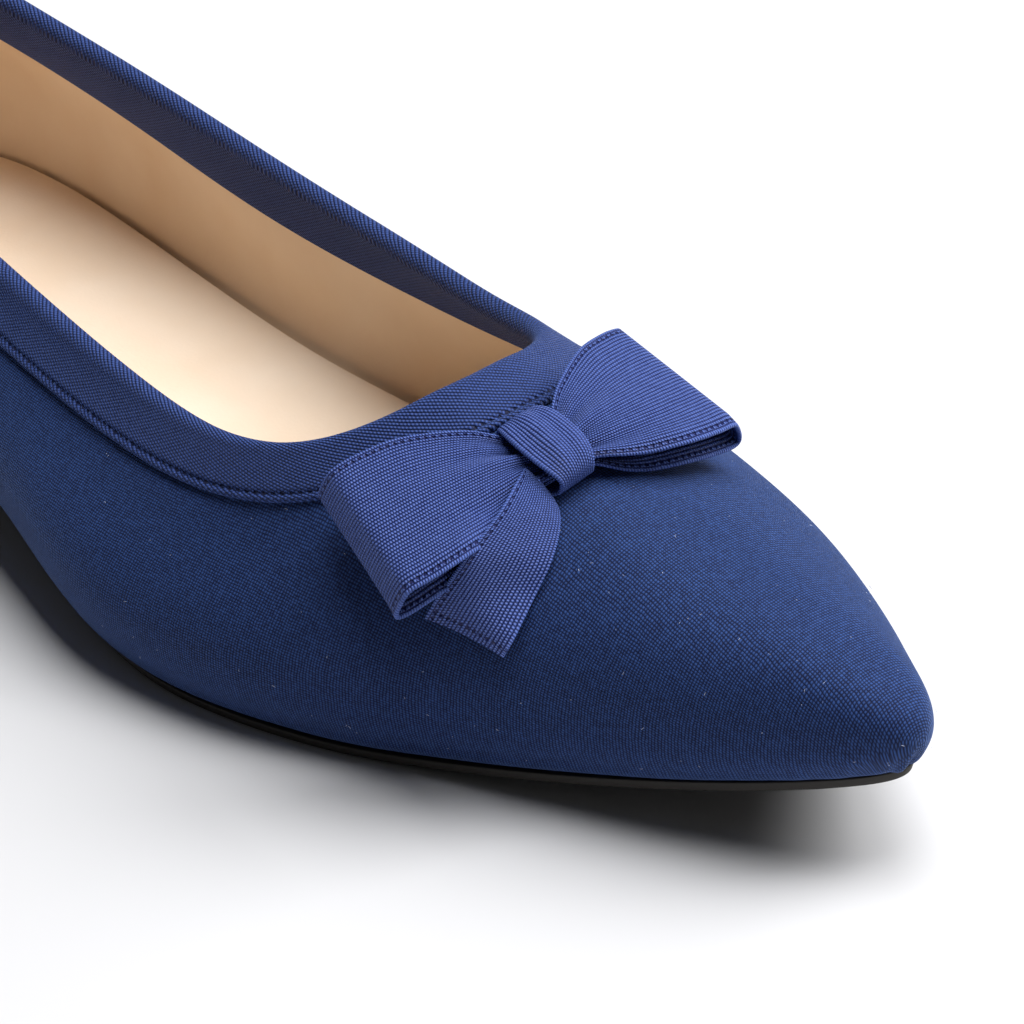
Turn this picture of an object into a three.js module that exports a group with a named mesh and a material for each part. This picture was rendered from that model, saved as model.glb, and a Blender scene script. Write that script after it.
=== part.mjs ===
// Pointed flat with a ribbon bow, the right shoe, in millimetres.
// X runs from heel to toe, Y to the wearer's left and Z up.
// The origin is the middle of the heel's resting face.
import * as THREE from "three";

// Last: the feather edge is the line where the upper turns under at the sole
const LENGTH = 252;
const BALL_WIDTH = 75;
const COUNTER_HEIGHT = 50.2;
const BELLY_HEIGHT = 16;
const FLARE = 4.7;
const INSTEP_RISE = 14;
const VAMP_REACH = 52;
const TOE_TURN = 8;
const TOE_SPRING = 13.2;
const ARCH_RISE = 2.5;

// Bottom
const HEEL_HEIGHT = 7.5;
const HEEL_LENGTH = 52;
const HEEL_TAPER = 1.5;
const BREAST_HOLLOW = 3;
const SHANK_GAP = 4;
const HEEL_REST = 26;
const SOLE_THICKNESS = 1.7;
const SOLE_EDGE = 1.2;
const SOLE_BEVEL = 0.4;
const INSOLE_THICKNESS = 2.5;
const INSOLE_BEVEL = 0.6;

// Upper and binding
const WALL = 1.6;
const LASTING_MARGIN = 4;
const BINDING_THICKNESS = 0.7;
const BINDING_OUTSIDE = 9;
const BINDING_INSIDE = 10;
const FIT = 0.3;

// Bow; its place round the shoe is a share of the way from the heel's back over the outer side and back
const RIBBON_WIDTH = 22;
const RIBBON_THICKNESS = 0.7;
const NEAR_LENGTH = 29.5;
const FAR_LENGTH = 26;
const LOOP_HEIGHT = 6;
const NEAR_TURN = 16;
const NEAR_FORWARD = 0.6;
const FAR_FORWARD = 0.9;
const NEAR_DROOP = 5;
const FAR_DROOP = 4;
const PLEAT_DEPTH = 0.6;
const NEAR_DIP = 2.8;
const FAR_DIP = 1;
const KNOT_WIDTH = 9.2;
const KNOT_LENGTH = 13.4;
const KNOT_HEIGHT = 6;
const TAIL_LENGTH = 27;
const TAIL_CROWN = 0.6;
const BOW_SETBACK = 18;
const BOW_AROUND = 0.4725;

// Feather edge, heel back to toe tip. The place is a share of LENGTH and the half widths of BALL_WIDTH.
// The fullest line stands out by a share of FLARE and up by one of BELLY_HEIGHT.
// The sole's rim stands out by a share of SOLE_EDGE.
const FEATHER = [
  { along: 0.000, outer: 0.000, inner: 0.000, flare: 0.53, belly: 1.00, edge: 0.4 },
  { along: 0.030, outer: 0.233, inner: 0.233, flare: 0.60, belly: 0.94, edge: 0.4 },
  { along: 0.120, outer: 0.367, inner: 0.360, flare: 0.64, belly: 0.88, edge: 0.4 },
  { along: 0.270, outer: 0.407, inner: 0.340, flare: 0.74, belly: 0.79, edge: 0.1 },
  { along: 0.420, outer: 0.460, inner: 0.313, flare: 0.96, belly: 0.71, edge: 0.0 },
  { along: 0.550, outer: 0.540, inner: 0.407, flare: 1.00, belly: 0.66, edge: 0.6 },
  { along: 0.670, outer: 0.487, inner: 0.487, flare: 0.83, belly: 0.61, edge: 1.0 },
  { along: 0.780, outer: 0.353, inner: 0.447, flare: 0.64, belly: 0.57, edge: 1.0 },
  { along: 0.885, outer: 0.213, inner: 0.288, flare: 0.66, belly: 0.46, edge: 0.8 },
  { along: 0.965, outer: 0.096, inner: 0.091, flare: 0.74, belly: 0.38, edge: 0.5 },
  { along: 1.000, outer: 0.000, inner: 0.000, flare: 0.86, belly: 0.33, edge: 0.4 },
];

// Topline of the same ribs: height above the feather edge as a share of COUNTER_HEIGHT, upright rise of the
// side as one of INSTEP_RISE, run-in towards the topline as one of VAMP_REACH, slope there in degrees.
const TOPLINE = [
  { along: 0.0160, outer: 0.000, inner: 0.000, height: 1.000, rise: 1.00, reach: 0.27, slope: 84 },
  { along: 0.0450, outer: 0.176, inner: 0.176, height: 0.940, rise: 1.00, reach: 0.23, slope: 84 },
  { along: 0.1300, outer: 0.280, inner: 0.280, height: 0.797, rise: 0.86, reach: 0.19, slope: 80 },
  { along: 0.2600, outer: 0.313, inner: 0.327, height: 0.694, rise: 0.71, reach: 0.17, slope: 78 },
  { along: 0.3900, outer: 0.340, inner: 0.349, height: 0.619, rise: 0.64, reach: 0.17, slope: 74 },
  { along: 0.5010, outer: 0.363, inner: 0.364, height: 0.639, rise: 0.64, reach: 0.19, slope: 64 },
  { along: 0.5900, outer: 0.360, inner: 0.356, height: 0.684, rise: 0.74, reach: 0.27, slope: 42 },
  { along: 0.6510, outer: 0.296, inner: 0.309, height: 0.740, rise: 0.88, reach: 0.46, slope: 25 },
  { along: 0.6820, outer: 0.181, inner: 0.192, height: 0.813, rise: 0.93, reach: 0.73, slope: 19 },
  { along: 0.6935, outer: 0.085, inner: 0.091, height: 0.860, rise: 0.90, reach: 0.92, slope: 18 },
  { along: 0.6965, outer: 0.000, inner: 0.000, height: 0.870, rise: 0.86, reach: 1.00, slope: 18 },
];

// A ribbon loop from the knot out over the top, round the end fold and back underneath.
const LOOP = [
  { out: 0.040, up: 0.62, width: 0.33, crown: -1.0 },
  { out: 0.150, up: 0.70, width: 0.37, crown: -1.0 },
  { out: 0.320, up: 0.86, width: 0.63, crown: -0.4 },
  { out: 0.600, up: 0.90, width: 0.92, crown: 0.0 },
  { out: 0.840, up: 0.84, width: 1.00, crown: 0.0 },
  { out: 0.955, up: 0.74, width: 1.00, crown: 0.0 },
  { out: 1.000, up: 0.53, width: 1.00, crown: 0.0 },
  { out: 0.955, up: 0.32, width: 1.00, crown: 0.0 },
  { out: 0.840, up: 0.24, width: 1.00, crown: 0.0 },
  { out: 0.600, up: 0.26, width: 0.92, crown: 0.0 },
  { out: 0.320, up: 0.30, width: 0.63, crown: 0.4 },
  { out: 0.150, up: 0.32, width: 0.37, crown: 1.0 },
  { out: 0.040, up: 0.34, width: 0.33, crown: 1.0 },
];

// The tail's two edges from the knot to the cut end in shares of TAIL_LENGTH: how far towards the outer
// side, how far forward and how high each point of the edge by the loop and of the edge by the toe lies.
const TAIL = [
  { loopOut: 0.196, loopOn: 0.059, loopUp: 0.170, toeOut: 0.193, toeOn: 0.167, toeUp: 0.133 },
  { loopOut: 0.278, loopOn: 0.091, loopUp: 0.163, toeOut: 0.178, toeOn: 0.267, toeUp: 0.056 },
  { loopOut: 0.489, loopOn: 0.178, loopUp: 0.156, toeOut: 0.248, toeOn: 0.359, toeUp: 0.019 },
  { loopOut: 0.726, loopOn: 0.226, loopUp: 0.093, toeOut: 0.396, toeOn: 0.456, toeUp: -0.037 },
  { loopOut: 0.841, loopOn: 0.230, loopUp: 0.000, toeOut: 0.563, toeOn: 0.511, toeUp: -0.148 },
  { loopOut: 0.911, loopOn: 0.200, loopUp: -0.148, toeOut: 0.763, toeOn: 0.585, toeUp: -0.241 },
  { loopOut: 0.970, loopOn: 0.178, loopUp: -0.296, toeOut: 0.844, toeOn: 0.596, toeUp: -0.315 },
];

// How finely the ribs, the pieces across the shoe and the ribbon are cut into facets
const COLUMNS_PER_RIB = 4;
const ACROSS = 4;
const PATH_STEPS = 26;
const RIBBON_STEPS = 8;
const KNOT_STEPS = 20;
const TAIL_STEPS = 12;

// Where the stretches of the bottom begin, as shares of LENGTH, and how sharply the toe lifts and turns
const SHANK_START = (HEEL_LENGTH + SHANK_GAP) / LENGTH;
const BALL_START = 0.62;
const SPRING_START = 0.70;
const TURN_START = 0.60;
const SPRING_POWER = 1.7;
const TURN_POWER = 1.5;

// The tuck under the fullest line takes this share of a rib, and its curve leaves the feather edge by the
// given shares of the flare and of the belly's height.
const TUCK_END = 0.28;
const TUCK_OUT = 0.55;
const TUCK_UP = 0.1;
const TUCK_FULL = 0.5;

// How far the lasting margin's inner edge keeps off the heel's back and the toe's tip, in margins
const MARGIN_AT_HEEL = 4;
const MARGIN_AT_TOE = 2.5;

// Shapes of the ribbon: crown of a loop in millimetres, where its front edge dips and over which share of
// its reach, the waist and the squareness of the knot
const LOOP_CROWN = 0.5;
const DIP_AT = 0.36;
const DIP_SPREAD = 0.18;
const KNOT_WAIST = 0.68;
const KNOT_SQUARENESS = 0.72;

const CLOTH = new THREE.MeshStandardMaterial({ color: 0x22356f, roughness: 0.85, metalness: 0 });
const BINDING = new THREE.MeshStandardMaterial({ color: 0x253a78, roughness: 0.7, metalness: 0 });
const RIBBON = new THREE.MeshStandardMaterial({ color: 0x2a4186, roughness: 0.65, metalness: 0 });
const LEATHER = new THREE.MeshStandardMaterial({ color: 0xecd3b2, roughness: 0.6, metalness: 0 });
const OUTSOLE = new THREE.MeshStandardMaterial({ color: 0x35302c, roughness: 0.7, metalness: 0 });

const RIB_COUNT = 2 * (FEATHER.length - 1);
const TOE_RIB = RIB_COUNT / 2;
const COLUMNS = RIB_COUNT * COLUMNS_PER_RIB;

const clamp = THREE.MathUtils.clamp;
const lerp = THREE.MathUtils.lerp;
const UP = new THREE.Vector3(0, 0, 1);

function eased(t) {
  const s = clamp(t, 0, 1);
  return s * s * (3 - 2 * s);
}

// Height of the feather edge over the floor: heel seat, arch, ball and toe spring.
function featherHeight(x) {
  const along = x / LENGTH;
  const seat = HEEL_HEIGHT + SOLE_THICKNESS + 2 * FIT;
  const ball = SOLE_THICKNESS + FIT;
  const shank = clamp((along - SHANK_START) / (BALL_START - SHANK_START), 0, 1);
  const spring = Math.max(0, (along - SPRING_START) / (1 - SPRING_START));
  const arch = ARCH_RISE * Math.sin(Math.PI * shank) ** 2;
  return lerp(seat, ball, eased(shank)) + arch + TOE_SPRING * spring ** SPRING_POWER;
}

// One rib's numbers in millimetres; side is 1 on the inner half and -1 on the outer half.
function ribRow(index, side) {
  const foot = FEATHER[index];
  const top = TOPLINE[index];
  const half = side < 0 ? foot.outer : foot.inner;
  const topHalf = side < 0 ? top.outer : top.inner;
  const turn = TOE_TURN * Math.max(0, (foot.along - TURN_START) / (1 - TURN_START)) ** TURN_POWER;
  const topX = top.along * LENGTH;
  return [
    foot.along * LENGTH,
    side * half * BALL_WIDTH + turn,
    foot.flare * FLARE,
    foot.belly * BELLY_HEIGHT,
    foot.edge * SOLE_EDGE,
    topX,
    side * topHalf * BALL_WIDTH,
    featherHeight(topX) + top.height * COUNTER_HEIGHT,
    top.rise * INSTEP_RISE,
    top.reach * VAMP_REACH,
    top.slope,
  ];
}

// The ribs in a ring: up the outer side to the toe and back down the inner side.
function ringRows() {
  const rows = FEATHER.map((_, index) => ribRow(index, -1));
  for (let index = FEATHER.length - 2; index > 0; index--) rows.push(ribRow(index, 1));
  return rows;
}

// Control points of the closed cubic spline that passes through all rows.
function splineControls(rows) {
  const count = rows.length;
  let controls = rows.map((row) => row.slice());
  for (let pass = 0; pass < 60; pass++) {
    controls = controls.map((control, i) => control.map((value, k) => {
      const before = controls[(i + count - 1) % count][k];
      const after = controls[(i + 1) % count][k];
      return value + rows[i][k] - (before + 4 * value + after) / 6;
    }));
  }
  return controls;
}

const CONTROLS = splineControls(ringRows());

function splineAt(u) {
  const whole = Math.floor(u);
  const f = u - whole;
  const weights = [
    (1 - f) ** 3 / 6,
    (3 * f ** 3 - 6 * f ** 2 + 4) / 6,
    (-3 * f ** 3 + 3 * f ** 2 + 3 * f + 1) / 6,
    f ** 3 / 6,
  ];
  return CONTROLS[0].map((_, k) => weights.reduce((sum, weight, i) => {
    const index = (whole + i - 1 + 2 * RIB_COUNT) % RIB_COUNT;
    return sum + weight * CONTROLS[index][k];
  }, 0));
}

function bezier(points, t) {
  const s = 1 - t;
  const weights = [s ** 3, 3 * s * s * t, 3 * s * t * t, t ** 3];
  return points.reduce((sum, point, i) => sum.addScaledVector(point, weights[i]), new THREE.Vector3());
}

// A rib: the tuck from the feather edge to the fullest line, then the side and vamp up to the topline.
function ribAt(u) {
  const [x, y, flare, belly, edge, topX, topY, topZ, rise, reach, slope] = splineAt(u);
  const step = 0.001;
  const [xa, ya] = splineAt(u - step);
  const [xb, yb] = splineAt(u + step);
  const out = new THREE.Vector3(yb - ya, xa - xb, 0).normalize();
  const foot = new THREE.Vector3(x, y, featherHeight(x));
  const full = foot.clone().addScaledVector(out, flare).addScaledVector(UP, belly);
  const top = new THREE.Vector3(topX, topY, topZ);
  const run = new THREE.Vector3(top.x - full.x, top.y - full.y, 0).normalize();
  const angle = THREE.MathUtils.degToRad(slope);
  run.multiplyScalar(Math.cos(angle)).addScaledVector(UP, Math.sin(angle));
  const tuck = [
    foot,
    foot.clone().addScaledVector(out, TUCK_OUT * flare).addScaledVector(UP, TUCK_UP * belly),
    full.clone().addScaledVector(UP, -TUCK_FULL * belly),
    full,
  ];
  const side = [full, full.clone().addScaledVector(UP, rise), top.clone().addScaledVector(run, -reach), top];
  return { foot, out, edge, tuck, side };
}

// Outer surface of the upper: u goes round the ribs, v from the feather edge (0) to the topline (1).
function outerPoint(u, v) {
  const rib = ribAt(u);
  if (v <= TUCK_END) return bezier(rib.tuck, v / TUCK_END);
  return bezier(rib.side, (v - TUCK_END) / (1 - TUCK_END));
}

function outerNormal(u, v) {
  const step = 0.002;
  const round = outerPoint(u + step, v).sub(outerPoint(u - step, v));
  const rise = outerPoint(u, Math.min(1, v + step)).sub(outerPoint(u, Math.max(0, v - step)));
  return round.cross(rise).normalize();
}

// A point at a distance off the outer surface, inwards where it is negative.
function offsetPoint(u, v, distance) {
  return outerPoint(u, v).addScaledVector(outerNormal(u, v), distance);
}

// The v of the point that lies a given distance below the topline, measured down the rib.
function belowTopline(u, depth) {
  const steps = 120;
  let point = outerPoint(u, 1);
  let length = 0;
  for (let i = 1; i <= steps; i++) {
    const v = 1 - (i / steps) * (1 - TUCK_END);
    const next = outerPoint(u, v);
    const piece = next.distanceTo(point);
    if (length + piece >= depth) return v + ((length + piece - depth) / piece) * ((1 - TUCK_END) / steps);
    length += piece;
    point = next;
  }
  return TUCK_END;
}

// The wall's inner face at a height over the feather edge.
function innerWallAt(u, height) {
  const base = ribAt(u).foot.z;
  let low = 0;
  let high = TUCK_END;
  for (let pass = 0; pass < 24; pass++) {
    const middle = (low + high) / 2;
    if (offsetPoint(u, middle, -WALL).z - base < height) low = middle;
    else high = middle;
  }
  return offsetPoint(u, (low + high) / 2, -WALL);
}

// The feather edge moved towards the shoe's middle line, which stops short of the back and of the tip.
function insetFoot(u, distance) {
  const foot = ribAt(u).foot;
  const middle = foot.clone().add(ribAt(RIB_COUNT - u).foot).multiplyScalar(0.5);
  const tip = ribAt(TOE_RIB).foot;
  const target = middle.clone();
  target.x = clamp(middle.x, MARGIN_AT_HEEL * distance, LENGTH - MARGIN_AT_TOE * distance);
  if (middle.x > target.x) target.y = lerp(middle.y, tip.y, 0.5);
  const inwards = target.sub(foot).setZ(0).normalize();
  return foot.addScaledVector(inwards, distance);
}

// Collects the corners and facets of one closed solid and turns them into a mesh.
class Shell {
  constructor() {
    this.corners = [];
    this.triangles = [];
    this.found = new Map();
  }

  corner(point) {
    const key = point.toArray().map((value) => Math.round(value * 1e4)).join();
    if (!this.found.has(key)) {
      this.found.set(key, this.corners.length);
      this.corners.push(point);
    }
    return this.found.get(key);
  }

  triangle(a, b, c) {
    if (a !== b && b !== c && c !== a) this.triangles.push([a, b, c]);
  }

  quad(a, b, c, d) {
    const [i, j, k, l] = [a, b, c, d].map((point) => this.corner(point));
    this.triangle(i, j, k);
    this.triangle(i, k, l);
  }

  volume() {
    return this.triangles.reduce((sum, [a, b, c]) => {
      const cross = this.corners[b].clone().cross(this.corners[c]);
      return sum + this.corners[a].dot(cross) / 6;
    }, 0);
  }

  mesh(name, material) {
    const outward = this.volume() > 0;
    const order = this.triangles.flatMap(([a, b, c]) => (outward ? [a, b, c] : [a, c, b]));
    const geometry = new THREE.BufferGeometry();
    const positions = this.corners.flatMap((point) => point.toArray());
    geometry.setAttribute("position", new THREE.Float32BufferAttribute(positions, 3));
    geometry.setIndex(order);
    geometry.computeVertexNormals();
    const mesh = new THREE.Mesh(geometry, material);
    mesh.name = name;
    return mesh;
  }
}

// A band closed both ways: each column is a closed loop of section points.
function closedBand(columns) {
  const shell = new Shell();
  columns.forEach((column, i) => {
    const next = columns[(i + 1) % columns.length];
    column.forEach((point, k) => {
      const after = (k + 1) % column.length;
      shell.quad(point, next[k], next[after], column[after]);
    });
  });
  return shell;
}

// A plate between two grids of the same size, closed all round its rim.
function plate(upper, lower) {
  const shell = new Shell();
  const rows = upper.length - 1;
  const files = upper[0].length - 1;
  for (let i = 0; i < rows; i++) {
    for (let j = 0; j < files; j++) {
      shell.quad(upper[i][j], upper[i + 1][j], upper[i + 1][j + 1], upper[i][j + 1]);
      shell.quad(lower[i][j], lower[i][j + 1], lower[i + 1][j + 1], lower[i + 1][j]);
    }
    shell.quad(upper[i][0], lower[i][0], lower[i + 1][0], upper[i + 1][0]);
    shell.quad(upper[i][files], upper[i + 1][files], lower[i + 1][files], lower[i][files]);
  }
  for (let j = 0; j < files; j++) {
    shell.quad(upper[0][j], upper[0][j + 1], lower[0][j + 1], lower[0][j]);
    shell.quad(upper[rows][j], lower[rows][j], lower[rows][j + 1], upper[rows][j + 1]);
  }
  return shell;
}

// Rungs from the outer to the inner side of an outline, each point set on a height that depends on its x.
function ladder(outlineAt, heightAt) {
  const rungs = [];
  for (let i = 0; i <= COLUMNS / 2; i++) {
    const u = i / COLUMNS_PER_RIB;
    rungs.push(rung(outlineAt(u), outlineAt(RIB_COUNT - u), heightAt));
  }
  return rungs;
}

function rung(outer, inner, heightAt) {
  const points = [];
  for (let j = 0; j <= ACROSS; j++) {
    const point = outer.clone().lerp(inner, j / ACROSS);
    point.z = heightAt(point.x);
    points.push(point);
  }
  return points;
}

function makeUpper() {
  const rising = [0, 0.07, 0.14, 0.21, TUCK_END, 0.38, 0.5, 0.62, 0.74, 0.86, 1];
  const falling = [1, 0.86, 0.74, 0.6, 0.44, TUCK_END, 0.19, 0.12, 0.06, 0];
  const columns = [];
  for (let i = 0; i < COLUMNS; i++) {
    const u = i / COLUMNS_PER_RIB;
    const margin = insetFoot(u, LASTING_MARGIN);
    margin.z = featherHeight(margin.x);
    columns.push([
      ...rising.map((v) => outerPoint(u, v)),
      ...falling.map((v) => offsetPoint(u, v, -WALL)),
      margin.clone().addScaledVector(UP, WALL),
      margin,
    ]);
  }
  return closedBand(columns).mesh("upper", CLOTH);
}

// One face of the folded binding: down the outside, round the rim and down the lining.
function bindingFace(u, clearance) {
  const outside = [1, 0.67, 0.33, 0].map((share) => belowTopline(u, share * BINDING_OUTSIDE));
  const inside = [0, 0.33, 0.67, 1].map((share) => belowTopline(u, share * BINDING_INSIDE));
  const normal = outerNormal(u, 1);
  const rise = outerPoint(u, 1).sub(outerPoint(u, 0.995)).normalize();
  const centre = offsetPoint(u, 1, -WALL / 2);
  const radius = WALL / 2 + clearance;
  const rim = [60, 120].map((degrees) => {
    const angle = THREE.MathUtils.degToRad(degrees);
    const point = centre.clone().addScaledVector(normal, radius * Math.cos(angle));
    return point.addScaledVector(rise, radius * Math.sin(angle));
  });
  return [
    ...outside.map((v) => offsetPoint(u, v, clearance)),
    ...rim,
    ...inside.map((v) => offsetPoint(u, v, -WALL - clearance)),
  ];
}

function makeBinding() {
  const columns = [];
  for (let i = 0; i < COLUMNS; i++) {
    const u = i / COLUMNS_PER_RIB;
    columns.push([...bindingFace(u, FIT), ...bindingFace(u, FIT + BINDING_THICKNESS).reverse()]);
  }
  return closedBand(columns).mesh("topline_binding", BINDING);
}

function makeInsole() {
  const low = WALL + FIT;
  const high = low + INSOLE_THICKNESS;
  const bottom = (u) => innerWallAt(u, low).addScaledVector(ribAt(u).out, -FIT);
  const top = (u) => innerWallAt(u, high).addScaledVector(ribAt(u).out, -FIT - INSOLE_BEVEL);
  const upper = ladder(top, (x) => featherHeight(x) + high);
  const lower = ladder(bottom, (x) => featherHeight(x) + low);
  return plate(upper, lower).mesh("insole", LEATHER);
}

// The sole's outline: the feather edge moved out by its own share of SOLE_EDGE.
function soleOutline(u, bevel) {
  const rib = ribAt(u);
  return rib.foot.addScaledVector(rib.out, rib.edge - bevel);
}

function makeOutsole() {
  const upper = ladder((u) => soleOutline(u, 0), (x) => featherHeight(x) - FIT);
  const lower = ladder((u) => soleOutline(u, SOLE_BEVEL), (x) => featherHeight(x) - FIT - SOLE_THICKNESS);
  return plate(upper, lower).mesh("outsole", OUTSOLE);
}

// The u on the outer side (0 to 10) or the inner side (20 to 10) where the outline reaches a given x.
function outlineReach(x, start, bevel) {
  let near = start;
  let far = TOE_RIB;
  for (let pass = 0; pass < 30; pass++) {
    const middle = (near + far) / 2;
    if (soleOutline(middle, bevel).x < x) near = middle;
    else far = middle;
  }
  return (near + far) / 2;
}

function makeHeel() {
  const rungs = 12;
  const layer = (bevel, z) => {
    const breast = HEEL_LENGTH - bevel;
    const outerEnd = outlineReach(breast, 0, bevel);
    const innerEnd = outlineReach(breast, RIB_COUNT, bevel);
    const rows = [];
    for (let i = 0; i <= rungs; i++) {
      const share = (i / rungs) ** 1.3;
      const outer = soleOutline(outerEnd * share, bevel);
      const inner = soleOutline(lerp(RIB_COUNT, innerEnd, share), bevel);
      const row = rung(outer, inner, () => z);
      row.forEach((point, j) => {
        const middle = 1 - (2 * j / ACROSS - 1) ** 2;
        point.x -= BREAST_HOLLOW * middle * share ** 6;
      });
      rows.push(row);
    }
    return rows;
  };
  return plate(layer(0, HEEL_HEIGHT), layer(HEEL_TAPER, 0)).mesh("heel", OUTSOLE);
}

// The bow's own frame on the vamp: across the shoe, forward down the vamp and straight off it.
function bowFrame() {
  const u = BOW_AROUND * RIB_COUNT;
  const v = belowTopline(u, BOW_SETBACK);
  const origin = outerPoint(u, v);
  const forward = outerPoint(u, v - 0.01).sub(origin).normalize();
  const lift = outerNormal(u, v);
  const across = lift.clone().cross(forward).normalize();
  return { origin, forward, lift, across };
}

const BOW = bowFrame();

function bowPoint(across, forward, lift) {
  return BOW.origin.clone()
    .addScaledVector(BOW.across, across)
    .addScaledVector(BOW.forward, forward)
    .addScaledVector(BOW.lift, lift);
}

// A table's values at a share of the way down its rows, on a smooth curve through them.
function tableAt(table, t) {
  const place = clamp(t, 0, 1) * (table.length - 1);
  const index = Math.min(table.length - 2, Math.floor(place));
  const f = place - index;
  const row = (i) => table[clamp(i, 0, table.length - 1)];
  const values = {};
  for (const key of Object.keys(table[0])) {
    const [p, q, r, s] = [row(index - 1)[key], row(index)[key], row(index + 1)[key], row(index + 2)[key]];
    values[key] = q + 0.5 * f * (r - p + f * (2 * p - 5 * q + 4 * r - s + f * (3 * (q - r) + s - p)));
  }
  return values;
}

// Both faces of a loop's ribbon. The shape gives its side (-1 is the outer one), length, turn towards the
// heel in degrees, place down the vamp, how far its end droops and how far its front edge dips.
function makeLoop(name, shape) {
  const turn = THREE.MathUtils.degToRad(shape.turn);
  const centre = (t) => {
    const row = tableAt(LOOP, t);
    return new THREE.Vector2(row.out * shape.length, row.up * LOOP_HEIGHT - shape.droop * row.out ** 2);
  };
  const faces = [[], []];
  for (let i = 0; i <= PATH_STEPS; i++) {
    const t = i / PATH_STEPS;
    const row = tableAt(LOOP, t);
    const here = centre(t);
    const along = centre(Math.min(1, t + 0.004)).sub(centre(Math.max(0, t - 0.004))).normalize();
    const normal = new THREE.Vector2(-along.y, along.x);
    const gathered = Math.max(0, 1 - row.out) ** 2;
    const dip = shape.dip * Math.exp(-(((row.out - DIP_AT) / DIP_SPREAD) ** 2));
    faces.forEach((face, layer) => {
      const half = (layer === 0 ? 0.5 : -0.5) * RIBBON_THICKNESS;
      const reach = here.x + normal.x * half;
      const points = [];
      for (let j = 0; j <= RIBBON_STEPS; j++) {
        const k = 2 * j / RIBBON_STEPS - 1;
        const pleat = PLEAT_DEPTH * gathered * Math.cos(2 * Math.PI * k);
        const sunk = dip * Math.max(0, k) ** 2;
        const lift = here.y + normal.y * half + pleat - sunk + row.crown * LOOP_CROWN * k * k;
        const aside = k * row.width * RIBBON_WIDTH / 2;
        const across = shape.side * (reach * Math.cos(turn) + aside * Math.sin(turn));
        const forward = shape.forward - reach * Math.sin(turn) + aside * Math.cos(turn);
        points.push(bowPoint(across, forward, lift));
      }
      face.push(points);
    });
  }
  return plate(faces[0], faces[1]).mesh(name, RIBBON);
}

// The wrap round the bow's waist, a band in a rounded oval that is narrower at the oval's ends.
function makeKnot() {
  const columns = [];
  const spread = (value) => Math.sign(value) * Math.abs(value) ** KNOT_SQUARENESS;
  for (let i = 0; i < KNOT_STEPS; i++) {
    const angle = 2 * Math.PI * i / KNOT_STEPS;
    const half = KNOT_WIDTH / 2 * (1 - (1 - KNOT_WAIST) * Math.cos(angle) ** 2);
    const layer = (inset) => {
      const forward = (KNOT_LENGTH / 2 - inset) * spread(Math.cos(angle));
      const lift = FIT + KNOT_HEIGHT / 2 + (KNOT_HEIGHT / 2 - inset) * spread(Math.sin(angle));
      return [-1, -0.33, 0.33, 1].map((k) => bowPoint(k * half, forward, lift));
    };
    columns.push([...layer(0), ...layer(RIBBON_THICKNESS).reverse()]);
  }
  return closedBand(columns).mesh("bow_knot", RIBBON);
}

// The short tail comes out beside the knot, over the near loop's front edge, and sinks towards the vamp.
function makeTail() {
  const point = (t, k) => {
    const edges = tableAt(TAIL, t);
    const at = (key) => TAIL_LENGTH * lerp(edges["loop" + key], edges["toe" + key], (k + 1) / 2);
    return bowPoint(-at("Out"), at("On"), at("Up") + TAIL_CROWN * (1 - k * k));
  };
  const step = 0.01;
  const faces = [0.5, -0.5].map((layer) => {
    const rows = [];
    for (let i = 0; i <= TAIL_STEPS; i++) {
      const t = i / TAIL_STEPS;
      const row = [];
      for (let j = 0; j <= ACROSS; j++) {
        const k = 2 * j / ACROSS - 1;
        const along = point(Math.min(1, t + step), k).sub(point(Math.max(0, t - step), k));
        const normal = point(t, k + step).sub(point(t, k - step)).cross(along).normalize();
        if (normal.dot(BOW.lift) < 0) normal.negate();
        row.push(point(t, k).addScaledVector(normal, layer * RIBBON_THICKNESS));
      }
      rows.push(row);
    }
    return rows;
  });
  return plate(faces[0], faces[1]).mesh("bow_tail", RIBBON);
}

const shoe = new THREE.Group();
shoe.add(makeUpper());
shoe.add(makeBinding());
shoe.add(makeInsole());
shoe.add(makeOutsole());
shoe.add(makeHeel());
const nearSizes = {
  length: NEAR_LENGTH, turn: NEAR_TURN, forward: NEAR_FORWARD, droop: NEAR_DROOP, dip: NEAR_DIP,
};
const farSizes = { length: FAR_LENGTH, turn: 0, forward: FAR_FORWARD, droop: FAR_DROOP, dip: FAR_DIP };
shoe.add(makeLoop("bow_near_loop", { side: -1, ...nearSizes }));
shoe.add(makeLoop("bow_far_loop", { side: 1, ...farSizes }));
shoe.add(makeKnot());
shoe.add(makeTail());
shoe.position.x = -HEEL_REST;

export default shoe;
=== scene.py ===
"""Dressed model of a pointed flat with a ribbon bow, the right shoe.

X runs from heel to toe, Y to the wearer's left, which is this shoe's inner side, and Z up. Shapes are worked out
in millimetres with X counted from the heel's back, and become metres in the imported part's frame as each mesh is
made.
"""

from __future__ import annotations

import logging
import math
from dataclasses import dataclass, field
from enum import Enum
from functools import cached_property
from typing import Any, NamedTuple

import bmesh
import bpy
import numpy as np
from mathutils import Matrix, Vector


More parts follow.
